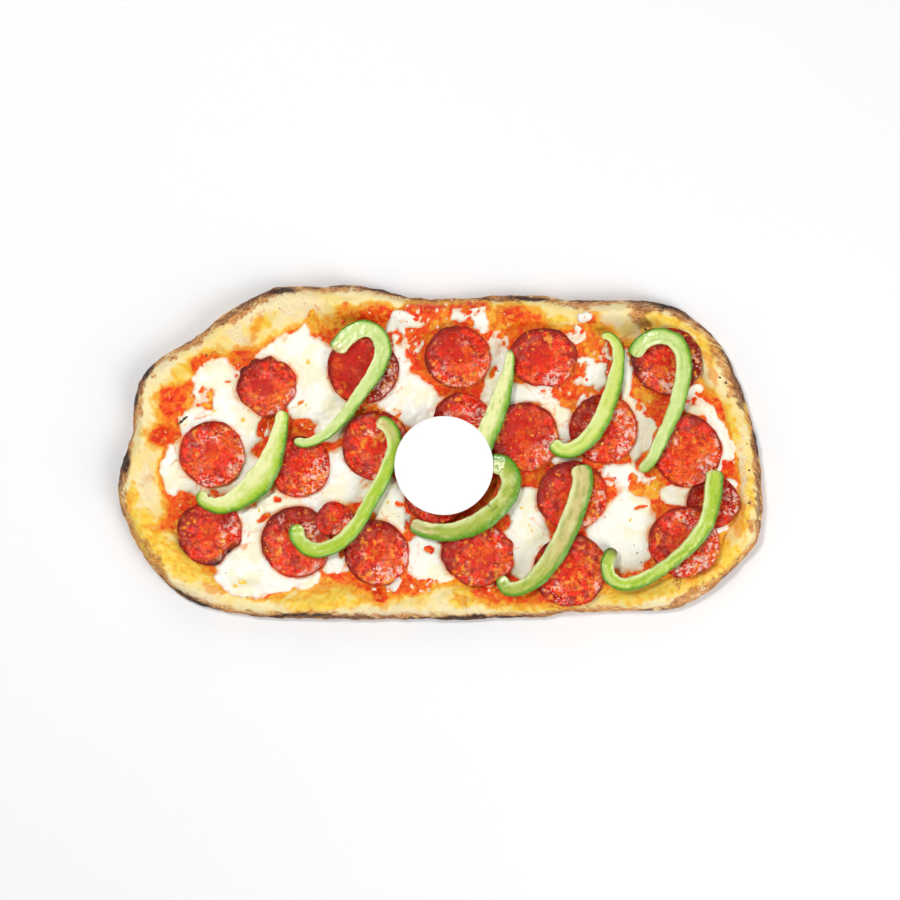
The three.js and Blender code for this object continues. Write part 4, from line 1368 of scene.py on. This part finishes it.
CARD_CORNERS = 160
CARD_CURL = 0.35
CARD_SLOPE_SPAN = 20  # the steps over which the card's slopes are measured
CARD_PROFILE = [  # share of the radius and height, from under the card to over it
    (0.02, 0), (0.3, 0), (0.6, 0), (0.9, 0), (0.99, 0), (0.998, 0.05), (1.0, 0.15), (1.0, 0.45),
    (0.998, 0.55), (0.992, 0.6), (0.95, 0.6), (0.87, 0.6), (0.75, 0.6), (0.6, 0.6), (0.4, 0.6),
    (0.2, 0.6), (0.02, 0.6),
]


def make_card():
    """A blank paper disc, a little curled."""
    low, high = node_box("round_card")
    x, y = (low + high)[:2] / 2
    radius = (high - low)[0] / 2
    span = CARD_SLOPE_SPAN
    found = undersides("round_card", [(x, y), (x + span, y), (x, y + span)])
    slope_x, slope_y = (found[1:] - found[0]) / span
    angle = full_turn(CARD_CORNERS)
    share, lift = np.array(CARD_PROFILE).T[..., None]
    dx, dy = share * radius * np.cos(angle), share * radius * np.sin(angle)
    curl = CARD_CURL * share ** 2 * np.cos(2 * angle - 0.9)
    z = found[0] + slope_x * dx + slope_y * dy + lift + curl
    body = loft(np.stack([x + dx, y + dy, z], -1))
    piece("card", body, card_look(), CARD_WHITE, ["round_card"])


# ---- Small things ----------------------------------------------------------------------------

LUMP_CORNERS = 16
LUMP_ROWS = 8
TRIES = 12  # places drawn for each one that is wanted


def surface(x, y):
    """Height of what is seen from above, without the strips and the card."""
    top = np.maximum(dough(x, y), sauce_height(x, y))
    top = np.maximum(top, cheese_height(x, y))
    for one in SLICES:
        share = one.share(x, y)
        top = np.where(share < 0.97, np.maximum(top, one.under(x, y) + SLICE_THICKNESS), top)
    return top


def lump(x, y, z, half_x, half_y, half_z, turn, seed, rough):
    """A small uneven lump."""
    angle = full_turn(LUMP_CORNERS)
    tilt = math.pi * ((np.arange(LUMP_ROWS) + 0.6) / (LUMP_ROWS + 0.2) - 0.5)[:, None]
    dent = noise(np.cos(angle) * 2 + 9.7 * seed, np.sin(angle) * 2, 1.6, 501)
    flat = np.cos(tilt) * (1 + rough * dent)
    dx, dy = half_x * flat * np.cos(angle), half_y * flat * np.sin(angle)
    height = half_z * np.sin(tilt) * (1 + 0.5 * rough * noise(dx + seed, dy, 1.1, 502))
    c, s = math.cos(turn), math.sin(turn)
    return loft(np.stack([x + c * dx - s * dy, y + s * dx + c * dy, z + height], -1))


def lumps(name, look, slot, places, flatness, colour, rough=0.5, sink=0.3):
    """Lumps lying on the surface, joined into one piece. Places: x, y, half size in mm."""
    rng = np.random.default_rng(len(places))
    heights = surface(*np.array(places).T[:2])
    bodies = []
    for k, ((x, y, size), height) in enumerate(zip(places, heights)):
        stretch = rng.uniform(0.7, 1.35)
        turn = rng.uniform(0, 6.3)
        half_z = size * flatness
        z = height + half_z * (1 - 2 * sink)
        bodies.append(lump(x, y, z, size * stretch, size / stretch, half_z, turn, k, rough))
    piece(name, joined(bodies), look, colour)


def in_row(spots, share):
    """Spots in pixels as places in millimetres, their sizes made smaller by the share."""
    return [(*to_row(px, py), size * PIXEL * share) for px, py, size in spots]


def scattered(count, seed, small, large, wanted):
    """Seeded places on the bread where wanted(x, y) is true, with half sizes."""
    rng = np.random.default_rng(seed)
    tries = TRIES * count
    x = rng.uniform(-HALF_LENGTH, HALF_LENGTH, tries)
    y = rng.uniform(-HALF_WIDTH, HALF_WIDTH, tries)
    size = small + (large - small) * rng.uniform(0, 1, tries) ** 2.5
    return np.stack([x, y, size], -1)[wanted(x, y)][:count].tolist()


def in_shreds(x, y):
    """Where cheese, pulp and oil are mixed, beside the slices."""
    mixed = (shred_field(x, y) > 0) & ~under_slice(x, y)
    return mixed & (sauce_depth(x, y) > 0.3) & (inset_at(x, y) > 6)


def bare_sauce(x, y, thick, cheese):
    """Where the sauce is thicker than this, the mozzarella less than this, and no slice lies."""
    return (sauce_depth(x, y) > thick) & (cheese_body(x, y) < cheese) & ~under_slice(x, y)


def speckled_rim(x, y):
    """Where burnt flecks may lie on the rim."""
    inset = inset_at(x, y)
    return (inset > 1) & (inset < 13) & (fractal(x, y, 16, 605) > 0.02)


def make_curds():
    places = in_row(CURDS, 0.36)
    places += scattered(26, 601, 0.2, 0.5, lambda x, y: bare_sauce(x, y, 0.5, -0.3))
    places += scattered(36, 609, 0.3, 1.1, in_shreds)
    lumps("curds", speck_look("curds", CHEESE_CREAM, 0.45), "mozzarella", places, 0.4, CHEESE_PINK)


def make_pulp():
    places = scattered(140, 602, 0.35, 1.3, lambda x, y: bare_sauce(x, y, 0.4, 0.2))
    places += scattered(150, 608, 0.4, 1.3, in_shreds)
    places += scattered(22, 603, 0.2, 0.6, lambda x, y: cheese_body(x, y) > 0.6)
    look = speck_look("tomato pulp", SAUCE_DARK, 0.25)
    lumps("tomato_pulp", look, "sauce", places, 0.35, SAUCE_RED)


def make_flecks():
    places = in_row(DARK_SPOTS, 0.5)
    places += scattered(24, 604, 0.15, 0.4, speckled_rim)
    places += scattered(16, 606, 0.15, 0.4, lambda x, y: sauce_depth(x, y) > 0.2)
    look = speck_look("char flecks", BURNT, 0.7)
    lumps("char_flecks", look, "crust", places, 0.3, SINGED, sink=0.55)


def make_drops():
    places = in_row(OIL_DROPS, 0.8)
    places += scattered(50, 607, 0.3, 0.9,
                        lambda x, y: (cheese_body(x, y) > 0.2) | under_slice(x, y))
    look = speck_look("oil drops", OIL_DEEP, 0.08)
    lumps("oil_drops", look, "sauce", places, 0.14, OIL, rough=0.12)


# ---- Floor, light and camera, in metres ------------------------------------------------------

FLOOR_HALF = 6.0
LIGHTS = {  # place, diameter and power
    "key": ((-0.4, 0.36, 1.34), 0.26, 8.7), "fill": ((0.8, -0.6, 1.2), 0.8, 7.9),
    "back": ((0.1, 1.2, 0.8), 0.9, 3.6), "left": ((-1.2, -0.3, 0.8), 0.9, 3.4),
    "right": ((1.0, -0.7, 0.7), 0.9, 6.0),
}
LIT_PLACE = (0, 0, 0.01)
WORLD_STRENGTH = 0.13
CAMERA_HEIGHT = 1.411
LENS = 100
SENSOR = 36
MIDDLE_PIXEL = (450, 450)


def make_floor():
    look = Look("pale floor", Roughness=0.9)
    look.colour(look.grains(FLOOR_WHITE, FLOOR_CLOUD, 300, 2, 0.3, 0.7, 0.2))
    corners = FLOOR_HALF * np.array([(-1, -1, 0), (1, -1, 0), (1, 1, 0), (-1, 1, 0)])
    floor = add_mesh("floor", corners, [(0, 1, 2, 3)], look.material)


def make_lights():
    for name, (place, diameter, power) in LIGHTS.items():
        data = bpy.data.lights.new(name, "AREA")
        data.shape = "DISK"
        data.size = diameter
        data.energy = power
        light = add_object(name, data)
        light.location = place
        light.rotation_mode = "QUATERNION"
        aim = Vector(LIT_PLACE) - Vector(place)
        light.rotation_quaternion = aim.to_track_quat("-Z", "Y")


def make_world():
    world = bpy.data.worlds.new("studio")
    world.use_nodes = True
    background = world.node_tree.nodes["Background"]
    background.inputs["Color"].default_value = (1, 1, 1, 1)
    background.inputs["Strength"].default_value = WORLD_STRENGTH
    bpy.context.scene.world = world


def make_camera():
    data = bpy.data.cameras.new("camera")
    data.lens = LENS
    data.sensor_width = SENSOR
    camera = add_object("camera", data)
    x, y = to_row(*MIDDLE_PIXEL)
    camera.location = (x * MM, y * MM, CAMERA_HEIGHT)
    bpy.context.scene.camera = camera
    bpy.context.scene.view_settings.view_transform = "Standard"


make_crust()
make_sauce()
make_cheese()
make_slices()
make_strips()
make_card()
make_curds()
make_pulp()
make_flecks()
make_drops()
make_floor()
make_lights()
make_world()
make_camera()
